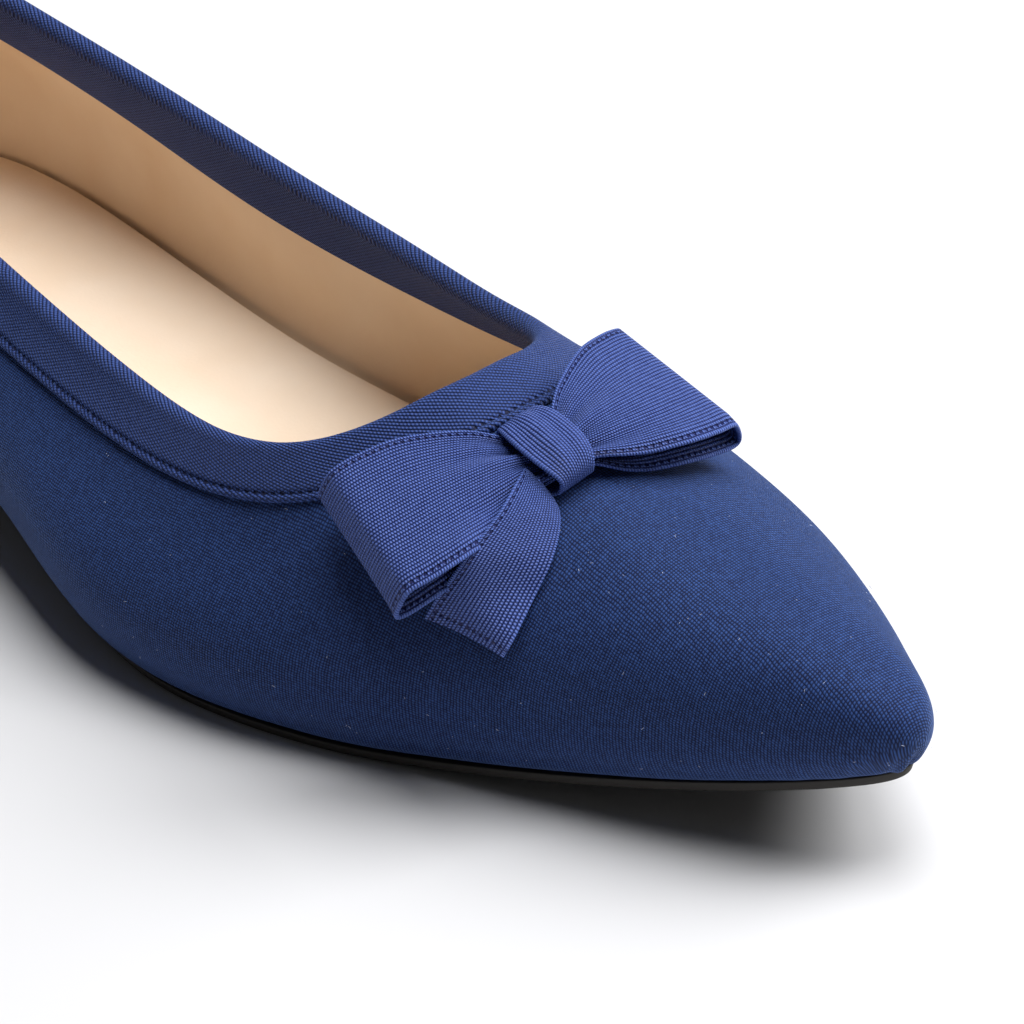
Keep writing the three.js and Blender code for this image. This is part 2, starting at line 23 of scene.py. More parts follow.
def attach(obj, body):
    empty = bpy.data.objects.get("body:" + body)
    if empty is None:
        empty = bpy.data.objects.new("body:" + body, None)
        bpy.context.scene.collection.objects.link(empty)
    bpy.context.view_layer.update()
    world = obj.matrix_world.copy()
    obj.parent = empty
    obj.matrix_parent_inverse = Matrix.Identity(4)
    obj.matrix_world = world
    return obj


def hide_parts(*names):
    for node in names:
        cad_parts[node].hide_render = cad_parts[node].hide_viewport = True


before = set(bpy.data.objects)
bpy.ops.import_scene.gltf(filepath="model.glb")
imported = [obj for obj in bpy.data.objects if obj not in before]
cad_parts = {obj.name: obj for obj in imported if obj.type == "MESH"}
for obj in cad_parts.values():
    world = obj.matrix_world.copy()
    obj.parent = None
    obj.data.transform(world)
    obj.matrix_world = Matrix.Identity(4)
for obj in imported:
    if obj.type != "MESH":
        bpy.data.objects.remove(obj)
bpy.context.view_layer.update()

LOG = logging.getLogger("pointed flat")
Array = np.ndarray
MM = 0.001
UP = np.array([0.0, 0.0, 1.0])
# Angles of the points between the two ends of a half circle over the topline.
RIM_ANGLES = np.radians(np.linspace(0.0, 180.0, 9))[1:-1]
# Noise in a cloth, per millimetre: how its threads stray, and where they are thick or thin.
STRAY = {"Scale": 0.45, "Detail": 3.0, "Roughness": 0.6}
SLUBS = {"Scale": 0.55, "Detail": 3.0, "Roughness": 0.65}
# Share of a cloth's height between its darkest gap and its lightest thread, over which its colour runs from the
# painted shade of the gaps to the thread colour, and how much painted shade darkens a needle hole.
TONE_RANGE = (0.12, 0.82)
HOLE_SHADE = 0.85

# Feather edge from the heel's back to the toe's tip. The columns are the place as a share of the length, the half
# widths of the outer and the inner side as shares of the ball's width, and the shares of flare, belly and sole edge.
FEATHER = np.array(
    [
        (0.000, 0.000, 0.000, 0.53, 1.00, 0.4),
        (0.030, 0.233, 0.233, 0.60, 0.94, 0.4),
        (0.120, 0.367, 0.360, 0.64, 0.88, 0.4),
        (0.270, 0.407, 0.340, 0.74, 0.79, 0.1),
        (0.420, 0.460, 0.313, 0.96, 0.71, 0.0),
        (0.550, 0.540, 0.407, 1.00, 0.66, 0.6),
        (0.670, 0.487, 0.487, 0.83, 0.61, 1.0),
        (0.780, 0.353, 0.447, 0.64, 0.57, 1.0),
        (0.885, 0.213, 0.294, 0.72, 0.46, 1.0),
        (0.965, 0.096, 0.110, 0.74, 0.38, 1.0),
        (1.000, 0.000, 0.000, 0.80, 0.33, 1.0),
    ]
)

# Topline at the same ribs. The columns are the place, the two half widths, the height as a share of the counter's,
# the upright rise of the side, the run-in towards the topline and the slope there in degrees.
TOPLINE = np.array(
    [
        (0.0160, 0.000, 0.000, 1.000, 1.00, 0.27, 84),
        (0.0450, 0.176, 0.176, 0.940, 1.00, 0.23, 84),
        (0.1300, 0.280, 0.280, 0.797, 0.86, 0.19, 80),
        (0.2600, 0.313, 0.327, 0.694, 0.71, 0.17, 78),
        (0.3900, 0.340, 0.349, 0.619, 0.64, 0.17, 74),
        (0.5010, 0.363, 0.364, 0.639, 0.64, 0.19, 64),
        (0.5900, 0.360, 0.356, 0.684, 0.74, 0.27, 42),
        (0.6510, 0.296, 0.309, 0.740, 0.88, 0.46, 25),
        (0.6820, 0.181, 0.192, 0.813, 0.93, 0.73, 19),
        (0.6935, 0.085, 0.091, 0.860, 0.90, 0.92, 18),
        (0.6965, 0.000, 0.000, 0.870, 0.86, 1.00, 18),
    ]
)

# A loop of the bow from the knot over the top, round the end fold and back underneath. The columns are how far
# out and how high the ribbon lies, its gathered width and its crown, all as shares of the loop's own sizes.
LOOP_PATH = np.array(
    [
        (0.040, 0.62, 0.33, -1.0),
        (0.150, 0.70, 0.37, -1.0),
        (0.320, 0.86, 0.63, -0.4),
        (0.600, 0.92, 0.92, 0.0),
        (0.800, 0.93, 1.00, 0.0),
        (0.925, 0.92, 1.00, 0.0),
        (0.965, 0.78, 1.00, 0.0),
        (1.000, 0.38, 1.00, 0.0),
        (0.975, 0.22, 1.00, 0.0),
        (0.860, 0.28, 1.00, 0.0),
        (0.600, 0.38, 0.92, 0.0),
        (0.320, 0.33, 0.63, 0.4),
        (0.150, 0.32, 0.37, 1.0),
        (0.040, 0.34, 0.33, 1.0),
    ]
)

# Edges of the tail from the knot to its cut end, as shares of the tail's length on the bow's own axes. The columns
# are the place out, forward and up of the edge by the loop, then of the edge by the toe.
TAIL_EDGES = np.array(
    [
        (0.196, 0.059, 0.170, 0.193, 0.167, 0.133),
        (0.278, 0.091, 0.163, 0.178, 0.267, 0.056),
        (0.489, 0.178, 0.156, 0.248, 0.359, 0.019),
        (0.726, 0.226, 0.093, 0.396, 0.456, -0.037),
        (0.841, 0.230, 0.000, 0.563, 0.511, -0.148),
        (0.911, 0.200, -0.148, 0.763, 0.585, -0.241),
        (0.970, 0.178, -0.296, 0.844, 0.596, -0.315),
    ]
)


class Slot(Enum):
    """Material slots of the part's record."""

    CLOTH = "cloth"
    BINDING = "binding"
    RIBBON = "ribbon"
    SOCK = "sock_leather"
    SOLE = "sole"


class Side(Enum):
    """Sides of the right shoe, as signs of Y."""

    OUTER = -1
    INNER = 1


def eased(t: Array) -> Array:
    """Return 3t² − 2t³ with t held between 0 and 1."""
    s = np.clip(t, 0.0, 1.0)
    return s * s * (3.0 - 2.0 * s)


def unit(vectors: Array) -> Array:
    """Return the vectors with length one."""
    return vectors / np.maximum(np.linalg.norm(vectors, axis=-1, keepdims=True), 1e-12)


def bump_at(place: Array, centre: float, width: float) -> Array:
    """Return a soft hill, exp(−((place − centre) / width)²)."""
    return np.exp(-(((place - centre) / width) ** 2))


class Hill(NamedTuple):
    """A soft hill: its height in millimetres, where its middle lies and its width."""

    height: float
    at: float
    width: float

    def over(self, place: Array) -> Array:
        """Return the hill's height at each place."""
        return self.height * bump_at(place, self.at, self.width)


def bezier(points: tuple[Array, ...], t: Array) -> Array:
    """Return the cubic Bézier point (1−t)³a + 3(1−t)²t·b + 3(1−t)t²·c + t³d for each t."""
    t = t[..., None]
    s = 1.0 - t
    a, b, c, d = points
    return s**3 * a + 3 * s * s * t * b + 3 * s * t * t * c + t**3 * d


def catmull(table: Array, t: Array) -> Array:
    """Read a table at shares t of its way on a smooth curve through its rows.

    Args:
        table: Rows of values, rows × columns.
        t: Shares from 0 to 1, of any shape.

    Returns:
        The values, with the columns as the last axis.
    """
    place = np.clip(t, 0.0, 1.0) * (len(table) - 1)
    index = np.minimum(place.astype(int), len(table) - 2)
    f = (place - index)[..., None]
    p, q, r, s = (table[np.clip(index + step, 0, len(table) - 1)] for step in (-1, 0, 1, 2))
    return q + 0.5 * f * (r - p + f * (2 * p - 5 * q + 4 * r - s + f * (3 * (q - r) + s - p)))


def path_length(points: Array, axis: int) -> Array:
    """Return the running length of the grid's lines along one axis, starting at zero."""
    steps = np.linalg.norm(np.diff(points, axis=axis), axis=-1)
    start = np.zeros_like(np.take(steps, [0], axis=axis))
    return np.concatenate([start, np.cumsum(steps, axis=axis)], axis=axis)


def grid_normals(points: Array) -> Array:
    """Return unit normals of a grid: the cross product of its row steps and column steps."""
    return unit(np.cross(np.gradient(points, axis=0), np.gradient(points, axis=1)))


def lay_flat(points: Array, warp: Array, rounds: int = 30, bound: float = 20.0) -> Array:
    """Lay a curved cloth flat with its threads straight, as for a cutter.

    The warp runs along the given direction in the surface and the weft square to it. The flat places are the
    least-squares answer to: each step between neighbours, measured along warp and weft, is the difference of
    their flat places. A step weighs as much as the cloth it stands for is wide, over its length. Conjugate
    gradients find the answer, helped by the one for equal weights, which comes from two sets of eigenvectors.

    Args:
        points: The cloth, rows × columns × 3.
        warp: The wanted warp direction at each point, rows × columns × 3.
        rounds: Steps of the conjugate gradients.
        bound: The largest weight; the smallest is its inverse.

    Returns:
        Flat places along warp and weft, rows × columns × 2.
    """
    normal = grid_normals(points)
    along = unit(warp - normal * np.sum(warp * normal, axis=-1, keepdims=True))
    threads = np.stack([along, np.cross(normal, along)], axis=-2)
    lengths = [np.linalg.norm(np.gradient(points, axis=axis), axis=-1) for axis in (0, 1)]
    pairs, wanted, weights, modes = [], [], [], []
    for axis in (0, 1):
        ahead = (slice(None),) * axis + (slice(1, None),)
        behind = (slice(None),) * axis + (slice(None, -1),)
        pairs.append(((slice(None), *ahead), (slice(None), *behind)))
        steps = points[ahead] - points[behind]
        width = (lengths[1 - axis][ahead] + lengths[1 - axis][behind]) / 2
        weights.append(np.clip(width / np.linalg.norm(steps, axis=-1), 1.0 / bound, bound))
        wanted.append(np.einsum("nmij,nmj->inm", (threads[ahead] + threads[behind]) / 2, steps))
        count = points.shape[axis]
        chain = 2 * np.eye(count) - np.eye(count, k=1) - np.eye(count, k=-1)
        chain[0, 0] = chain[-1, -1] = 1.0
        modes.append(np.linalg.eigh(chain))
    (value_rows, rows), (value_columns, columns) = modes
    stiffness = value_rows[:, None] + value_columns
    stiffness[0, 0] = np.inf

    def gather(steps: list[Array]) -> Array:
        """Add the weighted steps up at the points they lead to, and take them off where they start."""
        total = np.zeros((2,) + points.shape[:2])
        for (ahead, behind), weight, step in zip(pairs, weights, steps):
            total[ahead] += weight * step
            total[behind] -= weight * step
        return total

    def evenly(load: Array) -> Array:
        """Return the answer for equal weights."""
        return rows @ ((rows.T @ load @ columns) / stiffness) @ columns.T

    flat = np.zeros((2,) + points.shape[:2])
    left = gather(wanted)
    course = ready = evenly(left)
    size = np.sum(left * ready, axis=(1, 2), keepdims=True)
    for _ in range(rounds):
        pull = gather([course[ahead] - course[behind] for ahead, behind in pairs])
        share = size / np.sum(course * pull, axis=(1, 2), keepdims=True)
        flat += share * course
        left -= share * pull
        ready = evenly(left)
        before, size = size, np.sum(left * ready, axis=(1, 2), keepdims=True)
        course = ready + size / before * course
    return np.moveaxis(flat, 0, -1)


class Sheet(NamedTuple):
    """One grid of a closed piece: points in millimetres, places in its cloth and the number of its finish."""

    points: Array
    cloth: Array | None = None
    finish: int = 0


class Rib(NamedTuple):
    """Curves of the upper's ribs at given places round the last."""

    foot: Array
    out: Array
    edge: Array
    tuck: tuple[Array, ...]
    side: tuple[Array, ...]


@dataclass(frozen=True)
class Last:
    """Form of the shoe, in millimetres: ribs from the feather edge to the topline, in a ring.

    A place on the upper is u, which counts the ribs from the heel's back over the outer side to the toe at 10 and
    over the inner side back to 20, and v, from 0 at the feather edge to 1 at the topline.
    """

    length: float = 252.0
    ball_width: float = 75.0
    counter_height: float = 50.2
    belly_height: float = 16.0
    flare: float = 4.7
    instep_rise: float = 14.0
    vamp_reach: float = 52.0
    toe_turn: float = 8.0
    toe_spring: float = 13.2
    arch_rise: float = 2.5
    heel_height: float = 7.5
    heel_length: float = 52.0
    heel_rest: float = 26.0
    shank_gap: float = 4.0
    sole_thickness: float = 1.7
    sole_edge: float = 1.2
    wall: float = 1.6
    fit: float = 0.3
    ball_start: float = 0.62
    spring_start: float = 0.70
    turn_start: float = 0.60
    spring_power: float = 1.7
    turn_power: float = 1.5
    tuck_end: float = 0.28
    tuck_out: float = 0.55
    tuck_up: float = 0.1
    tuck_full: float = 0.5

    @property
    def ribs(self) -> int:
        """Return the number of ribs in the ring."""
        return 2 * (len(FEATHER) - 1)

    def feather_height(self, x: Array) -> Array:
        """Return the feather edge's height: seat to ball eased over the shank, plus arch and toe spring."""
        along = x / self.length
        seat = self.heel_height + self.sole_thickness + 2 * self.fit
        ball = self.sole_thickness + self.fit
        shank_start = (self.heel_length + self.shank_gap) / self.length
        shank = np.clip((along - shank_start) / (self.ball_start - shank_start), 0.0, 1.0)
        spring = np.maximum(0.0, (along - self.spring_start) / (1.0 - self.spring_start))
        arch = self.arch_rise * np.sin(np.pi * shank) ** 2
        return seat + (ball - seat) * eased(shank) + arch + self.toe_spring * spring**self.spring_power

    def _half_ring(self, side: Side) -> Array:
        """Return the ribs of one side, one row of eleven sizes each, from the heel to the toe."""
        along, outer, inner, flare, belly, edge = FEATHER.T
        top_along, top_outer, top_inner, height, rise, reach, slope = TOPLINE.T
        half, top_half = (outer, top_outer) if side is Side.OUTER else (inner, top_inner)
        bend = np.maximum(0.0, (along - self.turn_start) / (1.0 - self.turn_start))
        top_x = top_along * self.length
        return np.stack(
            [
                along * self.length,
                side.value * half * self.ball_width + self.toe_turn * bend**self.turn_power,
                flare * self.flare,
                belly * self.belly_height,
                edge * self.sole_edge,
                top_x,
                side.value * top_half * self.ball_width,
                self.feather_height(top_x) + height * self.counter_height,
                rise * self.instep_rise,
                reach * self.vamp_reach,
                slope,
            ],
            axis=-1,
        )

    @cached_property
    def controls(self) -> Array:
        """Return control points of the closed cubic spline through the ribs: (before + 4·own + after) / 6."""
        rows = np.concatenate([self._half_ring(Side.OUTER), self._half_ring(Side.INNER)[-2:0:-1]])
        one = np.eye(len(rows))
        weights = (np.roll(one, 1, axis=0) + 4 * one + np.roll(one, -1, axis=0)) / 6
        return np.linalg.solve(weights, rows)

    def spline(self, u: Array) -> Array:
        """Return the ribs' sizes at u, with the eleven sizes as the last axis."""
        whole = np.floor(u).astype(int)
        f = (u - whole)[..., None]
        weights = (
            (1 - f) ** 3 / 6,
            (3 * f**3 - 6 * f**2 + 4) / 6,
            (-3 * f**3 + 3 * f**2 + 3 * f + 1) / 6,
            f**3 / 6,
        )
        return sum(w * self.controls[(whole + i - 1) % self.ribs] for i, w in enumerate(weights))

    def rib(self, u: Array) -> Rib:
        """Return the curves of the ribs at u: the tuck under the fullest line, and the side and vamp over it."""
        step = 0.001
        sizes = np.moveaxis(self.spline(u), -1, 0)[..., None]
        x, y, flare, belly, edge, top_x, top_y, top_z, rise, reach, slope = sizes
        travel = self.spline(u + step)[..., :2] - self.spline(u - step)[..., :2]
        out = unit(np.stack([travel[..., 1], -travel[..., 0], 0 * travel[..., 0]], axis=-1))
        foot = np.concatenate([x, y, self.feather_height(x)], axis=-1)
        full = foot + flare * out + belly * UP
        top = np.concatenate([top_x, top_y, top_z], axis=-1)
        run = unit((top - full) * (1.0, 1.0, 0.0))
        run = run * np.cos(np.radians(slope)) + UP * np.sin(np.radians(slope))
        leave = foot + self.tuck_out * flare * out + self.tuck_up * belly * UP
        tuck = (foot, leave, full - self.tuck_full * belly * UP, full)
        side = (full, full + rise * UP, top - reach * run, top)
        return Rib(foot, out, edge, tuck, side)

    def outer(self, u: Array, v: Array) -> Array:
        """Return points of the upper's outer face."""
        u, v = np.broadcast_arrays(u, v)
        rib = self.rib(u)
        low = bezier(rib.tuck, np.clip(v / self.tuck_end, 0.0, 1.0))
        high = bezier(rib.side, np.clip((v - self.tuck_end) / (1.0 - self.tuck_end), 0.0, 1.0))
        return np.where((v <= self.tuck_end)[..., None], low, high)

    def normal(self, u: Array, v: Array) -> Array:
        """Return outward normals of the upper's outer face, from small steps in u and v."""
        step = 0.002
        around = self.outer(u + step, v) - self.outer(u - step, v)
        rise = self.outer(u, np.minimum(1.0, v + step)) - self.outer(u, np.maximum(0.0, v - step))
        return unit(np.cross(around, rise))

    def offset(self, u: Array, v: Array, distance: float | Array) -> Array:
        """Return points at a distance off the outer face, inwards where it is negative."""
        return self.outer(u, v) + self.normal(u, v) * np.asarray(distance)[..., None]

    def below(self, u: Array, depth: Array) -> Array:
        """Find the v that lies given lengths below the topline, measured down the rib.

        Args:
            u: Places round the last, one per row.
            depth: Lengths in millimetres, one per column.

        Returns:
            The v of each, rows × columns.
        """
        v = np.linspace(1.0, self.tuck_end, 200)
        lengths = path_length(self.outer(u[:, None], v), axis=1)
        return np.stack([np.interp(depth, row, v) for row in lengths])

    def inner_at(self, u: Array, height: float) -> Array:
        """Return points of the wall's inner face at a height over the feather edge, one for each u."""
        v = np.linspace(0.0, self.tuck_end, 120)
        wall = self.offset(u[:, None], v, -self.wall)
        rise = wall[..., 2] - self.rib(u).foot[:, None, 2]
        found = np.array([np.interp(height, row, v) for row in rise])
        return self.offset(u, found, -self.wall)

    def middle(self, outline: Array, margin: tuple[float, float] = (14.0, 9.0)) -> Array:
        """Return the middle line's point that each point of a closed outline looks at.

        It is halfway to the point of the same rib on the other side, held clear of the two ends.

        Args:
            outline: Closed outline from the heel over the outer side and back, its last point its first.
            margin: How far the middle line stops short of the heel's back and of the toe's tip.
        """
        centre = (outline + outline[::-1]) / 2
        tip = outline[len(outline) // 2]
        low, high = outline[:, 0].min() + margin[0], tip[0] - margin[1]
        target = centre.copy()
        target[:, 0] = np.clip(centre[:, 0], low, high)
        past = centre[:, 0] > high
        target[past, 1] = (centre[past, 1] + tip[1]) / 2
        return target

    def sole_outline(self, u: Array, inset: float | Array = 0.0) -> Array:
        """Return the sole's outline: the feather edge moved out by its share of the sole's edge, less an inset."""
        rib = self.rib(u)
        return rib.foot + rib.out * (rib.edge - np.asarray(inset)[..., None])


def make_solid(name: str, sheets: list[Sheet], finishes: list[bpy.types.Material], last: Last) -> bpy.types.Object:
    """Join grids into one closed piece, with their shared edges merged and their faces turned outwards.

    Args:
        name: Name of the new object.
        sheets: The grids, which meet edge to edge.
        finishes: The materials that the sheets' finish numbers count.
        last: The form, whose heel rest is the frame's origin.

    Returns:
        The object, at the origin.
    """
    places, quads, cloth, marks = [], [], [], []
    start = 0
    for sheet in sheets:
        rows, columns = sheet.points.shape[:2]
        first = start + np.arange(rows - 1)[:, None] * columns + np.arange(columns - 1)
        corners = np.stack([first, first + 1, first + columns + 1, first + columns], axis=-1).reshape(-1, 4)
        flat = np.zeros((rows, columns, 2)) if sheet.cloth is None else sheet.cloth
        places.append(sheet.points.reshape(-1, 3))
        cloth.append(flat.reshape(-1, 2))
        quads.append(corners)
        marks.append(np.full(len(corners), sheet.finish))
        start += rows * columns
    corners = np.concatenate(quads)
    metres = (np.concatenate(places) - (last.heel_rest, 0.0, 0.0)) * MM
    mesh = bpy.data.meshes.new(name)
    mesh.from_pydata(metres.tolist(), [], corners.tolist())
    mesh.polygons.foreach_set("material_index", np.concatenate(marks).astype(np.int32))
    layer = mesh.uv_layers.new(name="cloth")
    layer.data.foreach_set("uv", np.concatenate(cloth)[corners].astype(np.float32).ravel())
    shell = bmesh.new()
    shell.from_mesh(mesh)
    bmesh.ops.remove_doubles(shell, verts=shell.verts, dist=0.002 * MM)
    bmesh.ops.recalc_face_normals(shell, faces=shell.faces)
    shell.to_mesh(mesh)
    shell.free()
    mesh.shade_smooth()
    mesh.set_sharp_from_angle(angle=math.radians(50))
    for finish in finishes:
        mesh.materials.append(finish)
    piece = bpy.data.objects.new(name, mesh)
    bpy.context.scene.collection.objects.link(piece)
    LOG.info("%s: %d triangles", name, sum(len(face.vertices) - 2 for face in mesh.polygons))
    return piece


def ribbon_grid(steps: tuple[int, int]) -> tuple[Array, Array]:
    """Return shares from 0 to 1 along a ribbon, one per row, and from −1 to 1 across it, one per column."""
    return np.linspace(0.0, 1.0, steps[0])[:, None], np.linspace(-1.0, 1.0, steps[1])[None]


def strip(middle: Array, cloth: Array, thickness: float, closed: bool = False) -> list[Sheet]:
    """Give a ribbon its thickness and round selvedges.

    Each section is an upper and a lower chain from selvedge to selvedge: a quarter circle, the face moved off the
    middle by half the thickness, and another quarter circle.

    Args:
        middle: The ribbon's middle surface, along × across × 3.
        cloth: Places in the ribbon, along × across × 2.
        thickness: Its thickness in millimetres.
        closed: True where the ribbon's last row is its first, so that it has no ends.

    Returns:
        The grids of the closed piece.
    """
    half = thickness / 2
    normal = grid_normals(middle)
    if closed:
        normal[0] = normal[-1] = unit(normal[0] + normal[-1])
    side = unit(np.gradient(middle, axis=1))
    arc = np.radians(np.linspace(0.0, 90.0, 4))[:-1][None, :, None]
    chains = []
    for face in (1.0, -1.0):
        left = middle[:, :1] - half * np.cos(arc) * side[:, :1] + face * half * np.sin(arc) * normal[:, :1]
        right = middle[:, -1:] + half * np.cos(arc) * side[:, -1:] + face * half * np.sin(arc) * normal[:, -1:]
        chains.append(np.concatenate([left, middle + face * half * normal, right[:, ::-1]], axis=1))
    turns = arc.shape[1]
    flat = np.concatenate([cloth[:, :1].repeat(turns, 1), cloth, cloth[:, -1:].repeat(turns, 1)], axis=1)
    sheets = [Sheet(chain, flat) for chain in chains]
    if not closed:
        sheets += [Sheet(np.stack([chains[0][end], chains[1][end]]), np.stack([flat[end]] * 2)) for end in (0, -1)]
    return sheets


def rounded_plate(outline: Array, target: Array, profile: Array, heights: Array) -> Array:
    """Carry a profile round an outline.

    A point is outline + inset · (unit vector towards the middle line) for a small inset, and a share of the way
    to the middle line for the profile's two ends.

    Args:
        outline: Closed outline, points × 3.
        target: The middle line's point for each outline point.
        profile: Insets in millimetres, negative values meaning minus the share of the way to the middle.
        heights: Height of each profile point, points × profile.

    Returns:
        The grid, points × profile × 3.
    """
    way = (target - outline) * (1.0, 1.0, 0.0)
    inwards = unit(way)
    near = outline[:, None] + inwards[:, None] * np.maximum(profile, 0.0)[None, :, None]
    far = outline[:, None] + way[:, None] * np.maximum(-profile, 0.0)[None, :, None]
    grid = np.where((profile < 0.0)[None, :, None], far, near)
    grid[..., 2] = heights
    return grid


def linear(colour: str) -> tuple[float, float, float, float]:
    """Return an sRGB hex colour as linear red, green, blue and one."""
    values = [int(colour[i : i + 2], 16) / 255 for i in (1, 3, 5)]
    red, green, blue = (c / 12.92 if c <= 0.04045 else ((c + 0.055) / 1.055) ** 2.4 for c in values)
    return (red, green, blue, 1.0)


class Wiring:
    """Node tree of one material, from an empty start."""

    def __init__(self, name: str) -> None:
        """Make the material and clear its nodes."""
        self.material = bpy.data.materials.new(name)
        self.material.use_nodes = True
        self.tree = self.material.node_tree
        self.tree.nodes.clear()

    def add(self, kind: str, *inputs: Any, output: int = 0, sockets: dict[str, Any] | None = None, **settings: Any):
        """Add one node with its settings and links.

        Args:
            kind: The node's type without its ShaderNode prefix.
            *inputs: Values or sockets for the inputs in order, None to leave one alone.
            output: Number of the output that is returned.
            sockets: Values or sockets for inputs by name.
            **settings: Attributes of the node.

        Returns:
            The output socket, or None where the node has none.
        """
        node = self.tree.nodes.new("ShaderNode" + kind)
        for key, value in settings.items():
            setattr(node, key, value)
        for key, value in {**dict(enumerate(inputs)), **(sockets or {})}.items():
            if isinstance(value, bpy.types.NodeSocket):
                self.tree.links.new(value, node.inputs[key])
            elif value is not None:
                node.inputs[key].default_value = value
        return node.outputs[output] if node.outputs else None

    def math(self, operation: str, *values: Any):
        """Add a math node and return its result."""
        return self.add("Math", *values, operation=operation)

    def finish(self, colour: Any, height: Any, relief: float, **sockets: Any) -> bpy.types.Material:
        """Close the tree with a bumped principled shader.

        Args:
            colour: Base colour, a socket or linear values.
            height: Height pattern from 0 to 1, or None for a smooth face.
            relief: Height of the pattern in millimetres.
            **sockets: The shader's other values, with _ for a space in their names.
        """
        values = {key.replace("_", " "): value for key, value in sockets.items()}
        values["Base Color"] = colour
        if height is not None:
            values["Normal"] = self.add("Bump", 1.0, relief * MM, sockets={"Height": height})
        shader = self.add("BsdfPrincipled", sockets=values)
        self.add("OutputMaterial", shader)
        return self.material


@dataclass(frozen=True)
class HoleRow:
    """A row of needle holes along a selvedge, in millimetres; the hem's row lies across a cut end at place 0."""

    half_width: float
    inset: float
    pitch: float
    radius: float
    both_edges: bool = True
    hem: float = 0.0


@dataclass(frozen=True)
class Woven:
    """A woven cloth: threads of one colour with painted shade in the gaps between them, drawn in the piece's own
    flat places.

    Each set of threads is |sin(π·place / pitch)| high across a thread and swells where it lies on top of the other
    set, which alternates from thread to thread.
    """

    name: str
    thread: str
    # Colour of the gaps: painted shade between the threads.
    gap: str
    pitch: tuple[float, float]
    turn: float
    weights: tuple[float, float]
    relief: float
    roughness: float
    gloss: float
    sheen: float
    sheen_tint: str
    unevenness: float = 0.10
    speckle: float = 0.06
    wander: float = 0.2
    swell: float = 0.6
    join: str = "MAXIMUM"
    holes: HoleRow | None = None

    def material(self) -> bpy.types.Material:
        """Return the cloth as a material."""
        wire = Wiring(self.name)
        flat = wire.add("UVMap", uv_map="cloth")
        stray = wire.add("TexNoise", flat, output=1, sockets=STRAY)
        shift = wire.add("VectorMath", stray, (0.5, 0.5, 0.5), operation="SUBTRACT")
        loose = wire.add("VectorMath", shift, (self.wander,) * 3, flat, operation="MULTIPLY_ADD")
        turned = wire.add("Mapping", loose, None, (0.0, 0.0, math.radians(self.turn)))
        places = [wire.add("SeparateXYZ", turned, output=i) for i in (0, 1)]
        p, q = (wire.math("DIVIDE", place, pitch) for place, pitch in zip(places, self.pitch))
        heights = []
        for across, along, sign, weight in ((p, q, 1.0, self.weights[0]), (q, p, -1.0, self.weights[1])):
            round_thread = wire.math("ABSOLUTE", wire.math("SINE", wire.math("MULTIPLY", across, math.pi)))
            number = wire.math("FLOOR", across)
            phase = wire.math("MULTIPLY", wire.math("ADD", number, wire.math("SUBTRACT", along, 0.5)), math.pi)
            on_top = wire.math("MULTIPLY_ADD", wire.math("COSINE", phase), 0.5 * sign, 0.5)
            lifted = wire.math("MULTIPLY_ADD", on_top, self.swell, 1.0 - self.swell)
            heights.append(wire.math("MULTIPLY", wire.math("MULTIPLY", round_thread, lifted), weight))
        height = wire.math(self.join, *heights)
        uneven = wire.add("TexNoise", flat, sockets=SLUBS)
        slubs = wire.math("MULTIPLY_ADD", uneven, 2 * self.unevenness, -self.unevenness)
        cell = wire.add("CombineXYZ", wire.math("FLOOR", p), wire.math("FLOOR", q))
        speck = wire.math("MULTIPLY_ADD", wire.add("TexWhiteNoise", cell), 2 * self.speckle, -self.speckle)
        tone = wire.math("ADD", height, wire.math("ADD", slubs, speck))
        if self.holes is not None:
            hole = self._holes(wire, flat)
            height = wire.math("SUBTRACT", height, hole)
            tone = wire.math("SUBTRACT", tone, wire.math("MULTIPLY", hole, HOLE_SHADE))
        # The colour follows the threads' height from the gap colour, which is painted shade between the threads and
        # in the needle holes, to the thread colour; the slubs and the speckle add real unevenness of tone.
        shade = wire.add("MapRange", tone, *TONE_RANGE)
        ends = {6: linear(self.gap), 7: linear(self.thread)}
        colour = wire.add("Mix", shade, data_type="RGBA", output=2, sockets=ends)
        return wire.finish(
            colour,
            height,
            self.relief,
            Roughness=self.roughness,
            Specular_IOR_Level=self.gloss,
            Sheen_Weight=self.sheen,
            Sheen_Roughness=0.4,
            Sheen_Tint=linear(self.sheen_tint),
        )

    def _holes(self, wire: Wiring, flat: Any) -> Any:
        """Return 1 in the needle holes: the distance to the nearest hole's centre, cut off at its radius."""
        row = self.holes
        along, across = (wire.add("SeparateXYZ", flat, output=i) for i in (0, 1))
        from_middle = wire.math("ABSOLUTE", across) if row.both_edges else across
        from_edge = wire.math("SUBTRACT", row.half_width, from_middle)
        holes = self._hole_row(wire, wire.math("SUBTRACT", from_edge, row.inset), along)
        if row.hem:
            hem = self._hole_row(wire, wire.math("ADD", along, row.hem), across)
            holes = wire.math("MAXIMUM", holes, hem)
        return holes

    def _hole_row(self, wire: Wiring, off_row: Any, along: Any) -> Any:
        """Return 1 in the holes of one row, from the distance off the row and the place along it."""
        row = self.holes
        share = wire.math("FRACT", wire.math("DIVIDE", along, row.pitch))
        off_hole = wire.math("MULTIPLY", wire.math("SUBTRACT", share, 0.5), row.pitch)
        squares = wire.math("ADD", wire.math("POWER", off_row, 2.0), wire.math("POWER", off_hole, 2.0))
        distance = wire.math("SQRT", squares)
        return wire.add("MapRange", distance, 0.5 * row.radius, 1.2 * row.radius, 1.0, 0.0)


